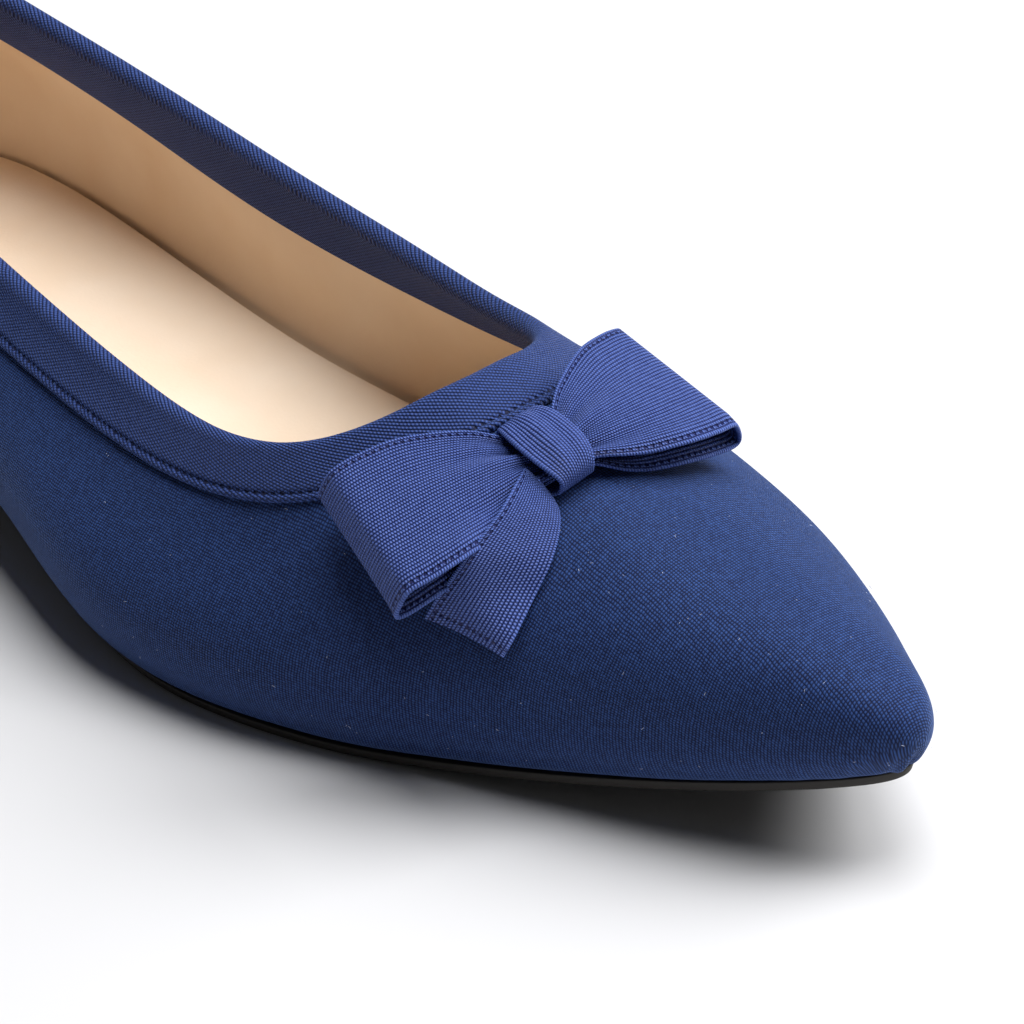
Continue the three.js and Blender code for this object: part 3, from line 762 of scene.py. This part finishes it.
@dataclass(frozen=True)
class Leather:
    """Smooth lining leather: a fine pore grain over soft clouds of tone, drawn in Object coordinates."""

    name: str
    light: str
    dark: str
    roughness: float
    grain: float = 0.5
    relief: float = 0.03

    def material(self) -> bpy.types.Material:
        """Return the leather as a material."""
        wire = Wiring(self.name)
        place = wire.add("TexCoord", output=3)
        clouds = wire.add("TexNoise", place, sockets={"Scale": 38.0, "Detail": 4.0})
        pores = wire.add("TexVoronoi", place, sockets={"Scale": 1.0 / (self.grain * MM)}, feature="SMOOTH_F1")
        shade = wire.add("MapRange", clouds, 0.3, 0.7)
        ends = {6: linear(self.dark), 7: linear(self.light)}
        colour = wire.add("Mix", shade, data_type="RGBA", output=2, sockets=ends)
        return wire.finish(colour, pores, self.relief, Roughness=self.roughness, Specular_IOR_Level=0.35)


@dataclass(frozen=True)
class Rubber:
    """Moulded sole rubber, inked in one colour over a fine grain."""

    name: str
    colour: str
    roughness: float
    grain: float = 0.6
    relief: float = 0.05

    def material(self) -> bpy.types.Material:
        """Return the rubber as a material."""
        wire = Wiring(self.name)
        place = wire.add("TexCoord", output=3)
        speckle = wire.add("TexNoise", place, sockets={"Scale": 1.0 / (self.grain * MM), "Detail": 3.0})
        ink = linear(self.colour)
        return wire.finish(ink, speckle, self.relief, Roughness=self.roughness, Specular_IOR_Level=0.3)


# Cotton canvas, plain woven and piece dyed: matt, with a fine grid of threads and painted shade in the gaps between
# them. The pitch is the real 0.46 mm along the shoe, and 0.38 mm across it, where the cloth is drawn wider over the
# vamp.
CANVAS = Woven(
    name="navy cotton canvas",
    thread="#325292",
    gap="#0a163c",
    pitch=(0.46, 0.38),
    turn=0.0,
    weights=(1.0, 1.0),
    relief=0.08,
    roughness=0.75,
    gloss=0.2,
    sheen=0.5,
    sheen_tint="#93b2f5",
    speckle=0.12,
    wander=0.5,
    swell=0.15,
    join="MULTIPLY",
)

# Grosgrain ribbon of viscose on a cotton core: rows of round beads with a soft shine, painted shade in the lines
# between them and in the needle holes along the selvedges and the hem.
GROSGRAIN = Woven(
    name="blue grosgrain ribbon",
    thread="#5a73c0",
    gap="#0b1650",
    pitch=(0.21, 0.60),
    turn=0.0,
    weights=(0.0, 1.0),
    relief=0.22,
    roughness=0.5,
    gloss=0.25,
    sheen=0.12,
    sheen_tint="#93b0ff",
    holes=HoleRow(half_width=11.7, inset=0.75, pitch=1.05, radius=0.30, hem=1.3),
)

# The same ribbon folded over the topline, with its rows slanting along the band and the stitches' needle holes, and
# painted shade between the rows and in the holes.
BAND = Woven(
    name="folded grosgrain binding",
    thread="#3e579c",
    gap="#050d32",
    pitch=(0.245, 0.62),
    turn=-38.0,
    weights=(0.0, 1.0),
    relief=0.20,
    roughness=0.6,
    gloss=0.2,
    sheen=0.3,
    sheen_tint="#8fb0fa",
    holes=HoleRow(half_width=9.0, inset=1.45, pitch=1.3, radius=0.33, both_edges=False),
)

# Pigskin lining, drum dyed tan and lightly glazed: smooth, with faint clouds.
LINING = Leather(name="tan lining leather", light="#f0dcc2", dark="#e6ccac", roughness=0.55)

# Sheepskin sock, natural: paler than the lining and a little softer in its gloss.
SOCK = Leather(name="cream sock leather", light="#fae6cf", dark="#f4dbbf", roughness=0.6)

# Moulded rubber sole, inked nearly black brown.
SOLE = Rubber(name="inked rubber sole", colour="#2e2b28", roughness=0.6)


@dataclass
class Upper:
    """Cloth upper with its leather lining: one wall, lasted under at the feather edge."""

    last: Last
    columns: int = 480
    tuck_rows: int = 26
    side_rows: int = 74
    lining_rows: int = 28
    margin: float = 4.0
    band: float = 9.0
    toe_u: float = 10.0
    band_fade: float = 2.0
    edge_fade: float = 3.0
    tip_fade: float = 1.0
    puff_fade: float = 1.2
    wave: float = 0.16
    slanting_wave: float = 0.10
    lining_wave: float = 0.22
    gather_pitch: float = 0.95
    lasting: Hill = Hill(0.42, 1.6, 1.5)
    puff: Hill = Hill(0.16, 3.4, 2.6)
    gathers: Hill = Hill(0.10, 2.5, 2.4)
    lasted_toe: Hill = Hill(1.0, 0.0, 26.0)
    lasted_heel: Hill = Hill(1.0, 0.0, 18.0)
    tip_ridge: Hill = Hill(0.45, -1.6, 0.7)
    tip_trough: Hill = Hill(-0.55, -0.4, 0.45)
    tip_height: Hill = Hill(1.0, 2.0, 3.4)
    heel_seam: Hill = Hill(-0.35, 0.0, 0.45)

    def relief(self, u: Array, v: Array) -> Array:
        """Return how far the cloth stands off its form, in millimetres.

        A crease is a soft trough with a ridge beside it, placed by the lengths below the band, over the feather
        edge and round the toe.

        Args:
            u: Places round the last, one per row.
            v: Places up the rib, one per column.
        """
        points = self.last.outer(u[:, None], v)
        up = path_length(points, axis=1)
        below_band = up[:, -1:] - up - self.band
        around = path_length(points, axis=0)
        off_toe = around - around[np.argmin(np.abs(u - self.toe_u))]
        x, y = points[..., 0], points[..., 1]
        free = eased(below_band / self.band_fade) * eased(up / self.edge_fade)
        waves = self.wave * np.sin(x / 6.1 + y / 9.0) * np.sin(y / 5.3 + 1.0)
        waves = waves + self.slanting_wave * np.sin(x / 10.7 - y / 6.0 + 2.0)
        lasted = self.lasted_toe.over(off_toe) + self.lasted_heel.over(x)
        gathers = self.gathers.over(up) * np.sin(off_toe / self.gather_pitch) * lasted
        seam = self.heel_seam.over(y) * (x < self.last.heel_length / 2)
        puff = self.puff.over(below_band) * eased(below_band / self.puff_fade)
        fold = self.tip_ridge.over(off_toe) + self.tip_trough.over(off_toe)
        tip = fold * self.tip_height.over(up) * eased(up / self.tip_fade)
        return free * (waves + gathers + seam) + puff + self.lasting.over(up) + tip

    def build(self) -> bpy.types.Object:
        """Build the closed wall: outer face, rim, lining, and the margin turned in under the insole."""
        last = self.last
        u = np.linspace(0.0, last.ribs, self.columns + 1)
        tuck = np.linspace(0.0, last.tuck_end, self.tuck_rows)
        side = np.linspace(last.tuck_end, 1.0, self.side_rows)
        v = np.concatenate([tuck, side[1:]])
        outer = last.offset(u[:, None], v[None], self.relief(u, v))
        turn = eased(np.minimum(u, last.ribs - u) - 0.2)[:, None, None]
        round_ways = unit(np.gradient(outer, axis=0)) * np.where(u < self.toe_u, 1.0, -1.0)[:, None, None]
        forward = np.broadcast_to((1.0, 0.0, 0.0), outer.shape)
        cloth = lay_flat(outer, turn * forward + (1.0 - turn) * round_ways)
        down = np.linspace(1.0, 0.0, self.lining_rows)
        lining = last.offset(u[:, None], down[None], -last.wall)
        x, z = lining[..., 0], lining[..., 2]
        soft = self.lining_wave * np.sin(x / 7.5 + z / 6.0) * np.sin(np.pi * down) ** 2
        lining = lining + last.normal(u[:, None], down[None]) * soft[..., None]
        foot = last.rib(u).foot
        target = last.middle(foot, (4 * self.margin, 2.5 * self.margin))
        edge = foot + unit((target - foot) * (1.0, 1.0, 0.0)) * self.margin
        edge[:, 2] = last.feather_height(edge[:, 0])
        margin = np.stack([lining[:, -1], edge + last.wall * UP, edge, outer[:, 0]], axis=1)
        rim = np.stack([outer[:, -1], lining[:, 0]], axis=1)
        sheets = [Sheet(outer, cloth), Sheet(rim, finish=1), Sheet(lining, finish=1), Sheet(margin)]
        piece = make_solid("cloth_upper", sheets, [CANVAS.material(), LINING.material()], last)
        return dress(piece, Slot.CLOTH, "upper")


@dataclass
class Binding:
    """Ribbon folded over the topline and stitched near its lower edge."""

    last: Last
    columns: int = 720
    thickness: float = 0.7
    outside: float = 9.0
    inside: float = 10.0
    outside_rows: int = 24
    inside_rows: int = 16
    bare_rows: int = 8
    edge_round: float = 0.45
    edge_band: float = 0.5
    sharp_edge: float = 0.2
    groove: Hill = Hill(-0.36, 1.45, 0.42)
    lip: Hill = Hill(0.22, 0.7, 0.4)

    def build(self) -> bpy.types.Object:
        """Build the folded band: each section goes up the outside, round the rim and down the lining."""
        last = self.last
        u = np.linspace(0.0, last.ribs, self.columns + 1)
        near = last.fit
        far = last.fit + self.thickness
        edge_turn = np.linspace(0.0, np.pi / 2, 5)[:-1]
        edge_depths = self.outside - self.edge_round * (1 - np.cos(edge_turn))
        depth_out = np.concatenate([edge_depths, np.linspace(self.outside - self.edge_band, 0.0, self.outside_rows)])
        lift_out = np.concatenate([near + self.thickness * np.sin(edge_turn), np.full(self.outside_rows, far)])
        from_edge = self.outside - depth_out
        lift_out += self.groove.over(from_edge) + self.lip.over(from_edge) * (from_edge > self.sharp_edge)
        depth_in = np.linspace(0.0, self.inside, self.inside_rows)
        lift_in = np.full(self.inside_rows, far)
        lift_in[-1] = near
        top = self._face(u, depth_out, lift_out, far, depth_in, lift_in)
        bare_out = np.linspace(self.outside, 0.0, self.bare_rows)
        bare_in = np.linspace(0.0, self.inside, self.bare_rows)
        bare_lift = np.full(self.bare_rows, near)
        below = self._face(u, bare_out, bare_lift, near, bare_in, bare_lift)
        around = path_length(last.outer(u, np.ones_like(u)), axis=0)
        over = -(last.wall / 2 + far) * RIM_ANGLES
        depths = np.concatenate([depth_out, over, over[-1] - depth_in])
        cloth = np.stack(np.broadcast_arrays(around[:, None], depths[None]), axis=-1)
        piece = make_solid("folded_binding", [Sheet(top, cloth), Sheet(below)], [BAND.material()], last)
        return dress(piece, Slot.BINDING, "topline_binding")

    def _face(
        self, u: Array, depth_out: Array, lift_out: Array, rim: float, depth_in: Array, lift_in: Array
    ) -> Array:
        """Return one face of the folded band.

        Args:
            u: Places round the topline.
            depth_out: Lengths below the topline of the outside rows.
            lift_out: Their distances off the cloth.
            rim: Distance of the rounded top off the wall.
            depth_in: Lengths below the topline of the rows on the lining.
            lift_in: Their distances off the lining.
        """
        last = self.last
        outside = last.offset(u[:, None], last.below(u, depth_out), lift_out)
        inside = last.offset(u[:, None], last.below(u, depth_in), -last.wall - lift_in)
        one = np.ones_like(u)
        normal = last.normal(u, one)[:, None]
        rise = unit(last.outer(u, one) - last.outer(u, one - 0.005))[:, None]
        angle = RIM_ANGLES[None, :, None]
        reach = last.wall / 2 + rim
        centre = last.offset(u, one, -last.wall / 2)[:, None]
        top = centre + reach * (np.cos(angle) * normal + np.sin(angle) * rise)
        return np.concatenate([outside, top, inside], axis=1)


@dataclass
class Insole:
    """Padded leather sock, with a rounded edge that meets the wall."""

    last: Last
    columns: int = 480
    thickness: float = 2.5
    edge_round: float = 0.9
    dish: float = 0.35

    def build(self) -> bpy.types.Object:
        """Build the sock: a flat pad whose top edge is a quarter circle and whose seat dips a little."""
        last = self.last
        u = np.linspace(0.0, last.ribs, self.columns + 1)
        low = last.wall + last.fit
        outline = last.inner_at(u, low) - last.rib(u).out * last.fit
        target = last.middle(outline)
        angle = np.radians(np.linspace(0.0, 90.0, 7))
        shares = np.array([0.16, 0.3, 0.5, 0.7, 0.85, 1.0])
        inset = np.concatenate([[-1.0, 0.0], self.edge_round * (1 - np.cos(angle)), -shares])
        lift = np.concatenate([[0.0, 0.0], self.thickness - self.edge_round * (1 - np.sin(angle))])
        lift = np.concatenate([lift, self.thickness - self.dish * eased(shares / 0.7)])
        grid = rounded_plate(outline, target, inset, np.zeros((len(u), len(inset))))
        grid[..., 2] = last.feather_height(grid[..., 0]) + low + lift
        piece = make_solid("leather_sock", [Sheet(grid)], [SOCK.material()], last)
        return dress(piece, Slot.SOCK, "insole")


@dataclass
class Outsole:
    """Thin sole with a slanted, rounded edge."""

    last: Last
    columns: int = 480
    bevel: float = 0.7
    top_round: float = 0.25
    bottom_round: float = 0.35

    def build(self) -> bpy.types.Object:
        """Build the sole: the edge profile goes from the top's middle round the rim to the bottom's middle."""
        last = self.last
        u = np.linspace(0.0, last.ribs, self.columns + 1)
        outline = last.sole_outline(u)
        target = last.middle(outline)
        angle = np.radians(np.linspace(0.0, 90.0, 5))
        thick = last.sole_thickness
        inset = np.concatenate(
            [
                [-1.0, -0.5],
                self.top_round * (1 - np.sin(angle)),
                self.bevel * 0.5 + self.bottom_round * (1 - np.cos(angle)),
                [-0.5, -1.0],
            ]
        )
        drop = np.concatenate(
            [
                [0.0, 0.0],
                self.top_round * (1 - np.cos(angle)),
                thick - self.bottom_round * (1 - np.sin(angle)),
                [thick, thick],
            ]
        )
        grid = rounded_plate(outline, target, inset, np.zeros((len(u), len(inset))))
        grid[..., 2] = last.feather_height(grid[..., 0]) - last.fit - drop
        piece = make_solid("rubber_sole", [Sheet(grid)], [SOLE.material()], last)
        return dress(piece, Slot.SOLE, "outsole")


@dataclass
class Heel:
    """Low block under the seat, with a hollowed breast."""

    last: Last
    taper: float = 1.5
    hollow: float = 3.0
    curve_points: int = 120
    breast_points: int = 40
    edge_round: float = 0.4

    def build(self) -> bpy.types.Object:
        """Build the block: the tapering side is carried round the seat's outline and along the breast."""
        last = self.last
        levels = np.array([0.0, 0.12, 0.3, 0.6, 1.0])
        corner = self.edge_round * (1 - np.sqrt(1 - (1 - np.array([0.0, 0.5, 1.0])) ** 2))
        heights = np.concatenate([[0.0, 0.0], self.edge_round * np.array([0.5, 1.0]), last.heel_height * levels[1:]])
        insets = np.concatenate([[self.taper + self.edge_round], self.taper + corner, self.taper * (1 - levels[1:])])
        rings = [self._outline(inset) for inset in insets]
        middle = np.array([last.heel_length / 2, 0.0, 0.0])
        sides = np.stack([ring * (1.0, 1.0, 0.0) + height * UP for ring, height in zip(rings, heights)], axis=1)
        centres = [np.broadcast_to(middle + height * UP, sides[:, 0].shape)[:, None] for height in heights[[0, -1]]]
        grid = np.concatenate([centres[0], sides, centres[1]], axis=1)
        piece = make_solid("heel_block", [Sheet(grid)], [SOLE.material()], last)
        return dress(piece, Slot.SOLE, "heel")

    def _outline(self, inset: float) -> Array:
        """Return the closed outline at an inset: round the seat, then back along the hollowed breast."""
        last = self.last
        breast = last.heel_length - inset
        u = np.linspace(0.0, last.ribs, 2001)
        x = last.sole_outline(u, inset)[:, 0]
        half = len(u) // 2
        outer_end = np.interp(breast, x[:half], u[:half])
        inner_end = np.interp(-breast, -x[half:], u[half:])
        round_seat = np.linspace(inner_end - last.ribs, outer_end, self.curve_points)
        seat = last.sole_outline(round_seat % last.ribs, inset)
        share = np.linspace(0.0, 1.0, self.breast_points)[1:, None]
        back = seat[-1] + (seat[0] - seat[-1]) * share
        back[:, 0] -= self.hollow * (1 - (2 * share[:, 0] - 1) ** 2)
        return np.concatenate([seat, back])


@dataclass
class BowFrame:
    """The bow's own axes on the vamp: across the shoe, forward down the vamp and straight off it."""

    last: Last
    around: float = 0.4725
    setback: float = 18.0
    u: float = field(init=False)
    v: float = field(init=False)
    origin: Array = field(init=False)
    axes: Array = field(init=False)

    def __post_init__(self) -> None:
        """Find the place on the vamp and the three axes there."""
        self.u = self.around * self.last.ribs
        place = np.array(self.u)
        self.v = float(self.last.below(np.array([self.u]), np.array([self.setback]))[0, 0])
        self.origin = self.last.outer(place, np.array(self.v))
        forward = unit(self.last.outer(place, np.array(self.v - 0.01)) - self.origin)
        lift = self.last.normal(place, np.array(self.v))
        self.axes = np.stack([unit(np.cross(lift, forward)), forward, lift])

    def point(self, across: Array, forward: Array, lift: Array) -> Array:
        """Return points given in the bow's own axes."""
        return self.origin + np.stack(np.broadcast_arrays(across, forward, lift), axis=-1) @ self.axes


@dataclass(frozen=True)
class LoopShape:
    """One loop's reach, turn towards the heel in degrees, place down the vamp, droop of its end and front dip."""

    side: Side
    length: float
    turn: float
    forward: float
    droop: float
    dip: float


@dataclass
class Bow:
    """Flat bow of grosgrain ribbon: two loops, the wrap round their waist and one short tail."""

    last: Last
    place: BowFrame
    near: LoopShape = LoopShape(Side.OUTER, 29.5, 16.0, 1.0, 5.0, 2.8)
    far: LoopShape = LoopShape(Side.INNER, 26.4, 0.0, 1.1, 4.0, 1.0)
    ribbon_width: float = 23.4
    thickness: float = 0.7
    loop_height: float = 6.0
    crown: float = 0.5
    pleat_depth: float = 0.6
    fold_depth: float = 0.5
    dip: Hill = Hill(1.0, 0.36, 0.18)
    gape: Hill = Hill(1.0, 0.74, 0.14)
    edge_roll: float = 0.5
    edge_band: float = 0.16
    knot_width: float = 9.2
    knot_waist: float = 0.68
    knot_length: float = 13.4
    knot_height: float = 6.0
    knot_squareness: float = 0.72
    knot_crown: float = 0.9
    knot_pleat: float = 0.16
    tail_length: float = 27.0
    tail_width: float = 12.0
    tail_crown: float = 0.6
    loop_grid: tuple[int, int] = (180, 72)
    knot_grid: tuple[int, int] = (97, 33)
    tail_grid: tuple[int, int] = (90, 41)

    def build(self) -> list[bpy.types.Object]:
        """Build the bow's four pieces."""
        ribbon = GROSGRAIN.material()
        return [
            self._piece("near_loop", self.loop(self.near), "bow_near_loop", ribbon),
            self._piece("far_loop", self.loop(self.far), "bow_far_loop", ribbon),
            self._piece("knot_wrap", self.knot(), "bow_knot", ribbon),
            self._piece("ribbon_tail", self.tail(), "bow_tail", ribbon),
        ]

    def _piece(self, name: str, sheets: list[Sheet], node: str, ribbon: bpy.types.Material) -> bpy.types.Object:
        """Make one piece of the bow in place of its node."""
        return dress(make_solid(name, sheets, [ribbon], self.last), Slot.RIBBON, node)

    def _ribbon(self, middle: Array, across: Array, to_end: bool = False, closed: bool = False) -> list[Sheet]:
        """Give a stretch of ribbon its flat places and its thickness.

        Args:
            middle: Its middle surface, along × across × 3.
            across: Places across the ribbon in millimetres, one per column.
            to_end: True where places along it are counted from its last row.
            closed: True where its last row is its first.
        """
        along = path_length(middle, axis=0).mean(axis=1, keepdims=True)
        if to_end:
            along = along - along[-1]
        cloth = np.stack(np.broadcast_arrays(along, across), axis=-1)
        return strip(middle, cloth, self.thickness, closed)

    def loop(self, shape: LoopShape) -> list[Sheet]:
        """Build one loop: the path of the table times the loop's sizes, drooping with the square of its reach.

        The pleats at the knot are cosines across the ribbon that die away along it.

        Args:
            shape: The loop's reach, turn, place and droop.
        """
        t, k = ribbon_grid(self.loop_grid)
        out, up, width, crown = np.moveaxis(catmull(LOOP_PATH, t), -1, 0)
        gathered = np.maximum(0.0, 1.0 - out) ** 2
        pleats = self.pleat_depth * gathered * np.cos(2 * np.pi * k)
        folds = self.fold_depth * gathered**1.5 * np.cos(4.2 * np.pi * k + 0.6 + 2.0 * out)
        front = np.maximum(0.0, k)
        dip = shape.dip * self.dip.over(out) * front**2
        gape = self.gape.over(t) * front**3
        roll = self.edge_roll * np.maximum(0.0, 1.0 - (1.0 - k) / self.edge_band) * eased(3 * out - 0.6)
        flat = up * self.loop_height - shape.droop * out**2
        lift = flat + pleats + folds - dip - gape - roll + crown * self.crown * k * k
        turn = math.radians(shape.turn)
        reach = out * shape.length
        aside = k * width * self.ribbon_width / 2
        across = shape.side.value * (reach * math.cos(turn) + aside * math.sin(turn))
        forward = shape.forward - reach * math.sin(turn) + aside * math.cos(turn)
        return self._ribbon(self.place.point(across, forward, lift), k * self.ribbon_width / 2)

    def knot(self) -> list[Sheet]:
        """Build the wrap: a barrel-shaped band round a rounded oval.

        The oval is sign(c)·|c|^p of the cosine and the sine, and the band narrows with the square of the cosine.
        """
        t, k = ribbon_grid(self.knot_grid)
        angle = 2 * np.pi * t
        inset = self.thickness / 2

        def spread(value: Array) -> Array:
            """Return the value's power with its sign kept."""
            return np.sign(value) * np.abs(value) ** self.knot_squareness

        top = np.maximum(0.0, np.sin(angle))
        pleats = self.knot_pleat * np.cos(2.1 * np.pi * k + 0.8 + 1.6 * np.cos(angle))
        crown = top * (self.knot_crown * (1 - k * k) + pleats)
        half = (self.knot_width / 2 - inset) * (1.0 - (1.0 - self.knot_waist) * np.cos(angle) ** 2)
        forward = (self.knot_length / 2 - inset) * spread(np.cos(angle))
        lift = self.last.fit + self.knot_height / 2 + (self.knot_height / 2 - inset) * spread(np.sin(angle)) + crown
        return self._ribbon(self.place.point(k * half, forward, lift), k * self.knot_width / 2, closed=True)

    def tail(self) -> list[Sheet]:
        """Build the tail: straight lines between its two edges, with a slight crown across them."""
        t, k = ribbon_grid(self.tail_grid)
        edges = catmull(TAIL_EDGES, t) * self.tail_length
        share = (k[..., None] + 1) / 2
        out, forward, lift = np.moveaxis(edges[..., :3] * (1 - share) + edges[..., 3:] * share, -1, 0)
        middle = self.place.point(-out, forward, lift + self.tail_crown * (1 - k * k))
        from_selvedge = (k + 1) * self.tail_width / 2
        return self._ribbon(middle, from_selvedge - self.ribbon_width / 2, to_end=True)


@dataclass
class Lint:
    """Short pale fibres that cling to the cloth."""

    last: Last
    count: int = 170
    seed: int = 7
    radius: float = 0.035
    shortest: float = 0.25
    longest: float = 1.1
    lift: float = 0.5
    colour: str = "#b9c2dc"

    def build(self) -> bpy.types.Object:
        """Build all fibres as one piece: thin three-sided tubes on short curved lines over the cloth."""
        rng = np.random.default_rng(self.seed)
        u = rng.uniform(5.0, 15.0, self.count)
        v = rng.uniform(0.12, 0.95, self.count)
        heading = rng.uniform(0.0, 2 * np.pi, self.count)
        length = self.shortest + (self.longest - self.shortest) * rng.random(self.count) ** 2.5
        bend = rng.normal(0.0, 1.2, self.count)
        base = self.last.offset(u, v, self.lift)
        normal = self.last.normal(u, v)
        first = unit(np.cross(normal, UP + 0.01))
        second = np.cross(normal, first)
        sheets = []
        turn = np.linspace(0.0, 2 * np.pi, 4)[None, :, None]
        for i in range(self.count):
            s = np.linspace(-0.5, 0.5, 5)
            way = heading[i] + bend[i] * s
            ahead = np.cos(way)[:, None] * first[i] + np.sin(way)[:, None] * second[i]
            line = base[i] + np.cumsum(ahead, axis=0) * length[i] / len(s)
            aside = np.cross(ahead, normal[i])
            thick = self.radius * np.array([0.0, 1.0, 1.0, 1.0, 0.0])[:, None, None]
            ring = np.cos(turn) * aside[:, None] + np.sin(turn) * normal[i]
            sheets.append(Sheet(line[:, None] + thick * ring))
        wire = Wiring("cotton lint")
        # Loose cotton fibres: near white, dull, lit through.
        lint = wire.finish(linear(self.colour), None, 0.0, Roughness=0.8)
        return dress(make_solid("lint", sheets, [lint], self.last), Slot.CLOTH)


class SoftBox(NamedTuple):
    """A square soft box that looks at the shoe: its centre and its side in metres, and its watts."""

    name: str
    place: tuple[float, float, float]
    size: float
    power: float


@dataclass
class Studio:
    """Pale floor, soft light from above and behind, and the camera of the photograph."""

    image: int = 1024
    sensor: float = 36.0
    focal_pixels: float = 4504.6
    azimuth: float = 49.81
    elevation: float = 32.97
    roll: float = -2.45
    distance: float = 0.65368
    target: tuple[float, float, float] = (0.14892, 0.00628, 0.02073)
    key: SoftBox = SoftBox("key", (0.5, 0.9, 0.9), 0.8, 17.0)
    overhead: SoftBox = SoftBox("overhead", (0.2, 0.25, 1.3), 0.8, 16.5)
    surround: float = 0.04
    floor_reach: float = 4.0
    floor_height: float = -0.0001
    paper: str = "#dedee0"

    def build(self) -> None:
        """Build the floor, the lights, the world and the camera."""
        self._floor()
        self._world()
        self._light(self.key)
        self._light(self.overhead)
        self._camera()

    def _floor(self) -> None:
        """Add the floor, a wide sheet of white studio paper just under the shoe."""
        mesh = bpy.data.meshes.new("floor")
        reach, low = self.floor_reach, self.floor_height
        corners = [(-reach, -reach, low), (reach, -reach, low), (reach, reach, low), (-reach, reach, low)]
        mesh.from_pydata(corners, [], [(0, 1, 2, 3)])
        wire = Wiring("white studio paper")
        # Matt coated paper: even, nearly white, no gloss.
        mesh.materials.append(wire.finish(linear(self.paper), None, 0.0, Roughness=0.9, Specular_IOR_Level=0.1))
        floor = bpy.data.objects.new("floor", mesh)
        bpy.context.scene.collection.objects.link(floor)

    def _world(self) -> None:
        """Add an even white surround."""
        world = bpy.data.worlds.new("white surround")
        world.use_nodes = True
        background = next(node for node in world.node_tree.nodes if node.type == "BACKGROUND")
        background.inputs["Color"].default_value = (1.0, 1.0, 1.0, 1.0)
        background.inputs["Strength"].default_value = self.surround
        bpy.context.scene.world = world
        bpy.context.scene.view_settings.view_transform = "Standard"

    def _light(self, box: SoftBox) -> None:
        """Add a soft box and turn it to the camera's target."""
        light = bpy.data.lights.new(box.name, "AREA")
        light.size = box.size
        light.energy = box.power
        lamp = bpy.data.objects.new(box.name, light)
        lamp.location = box.place
        lamp.rotation_mode = "QUATERNION"
        lamp.rotation_quaternion = (Vector(box.place) - Vector(self.target)).to_track_quat("Z", "Y")
        bpy.context.scene.collection.objects.link(lamp)

    def _camera(self) -> None:
        """Add the camera: it looks back along azimuth and elevation at the target, turned by the roll."""
        azimuth, elevation = math.radians(self.azimuth), math.radians(self.elevation)
        flat = math.cos(elevation)
        back = Vector((math.sin(azimuth) * flat, -math.cos(azimuth) * flat, math.sin(elevation)))
        right = Vector((0.0, 0.0, 1.0)).cross(back).normalized()
        axes = Matrix((right, back.cross(right), back)).transposed().to_4x4()
        place = Matrix.Translation(Vector(self.target) + back * self.distance)
        camera = bpy.data.cameras.new("camera")
        camera.sensor_width = self.sensor
        camera.lens = self.focal_pixels / self.image * self.sensor
        camera.clip_start = 0.05
        eye = bpy.data.objects.new("camera", camera)
        eye.matrix_world = place @ axes @ Matrix.Rotation(math.radians(self.roll), 4, "Z")
        bpy.context.scene.collection.objects.link(eye)
        bpy.context.scene.camera = eye


def dress(piece: bpy.types.Object, slot: Slot, *nodes: str) -> bpy.types.Object:
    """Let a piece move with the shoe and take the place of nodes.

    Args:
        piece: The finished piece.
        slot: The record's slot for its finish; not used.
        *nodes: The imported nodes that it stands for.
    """
    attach(piece, "root")
    if nodes:
        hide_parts(*nodes)
    return piece


def main() -> None:
    """Build the shoe and its studio."""
    logging.basicConfig(level=logging.INFO, format="%(name)s: %(message)s")
    last = Last()
    Outsole(last).build()
    Heel(last).build()
    Insole(last).build()
    Upper(last).build()
    Binding(last).build()
    Bow(last, BowFrame(last)).build()
    Lint(last).build()
    Studio().build()


if __name__ == "__main__":
    main()
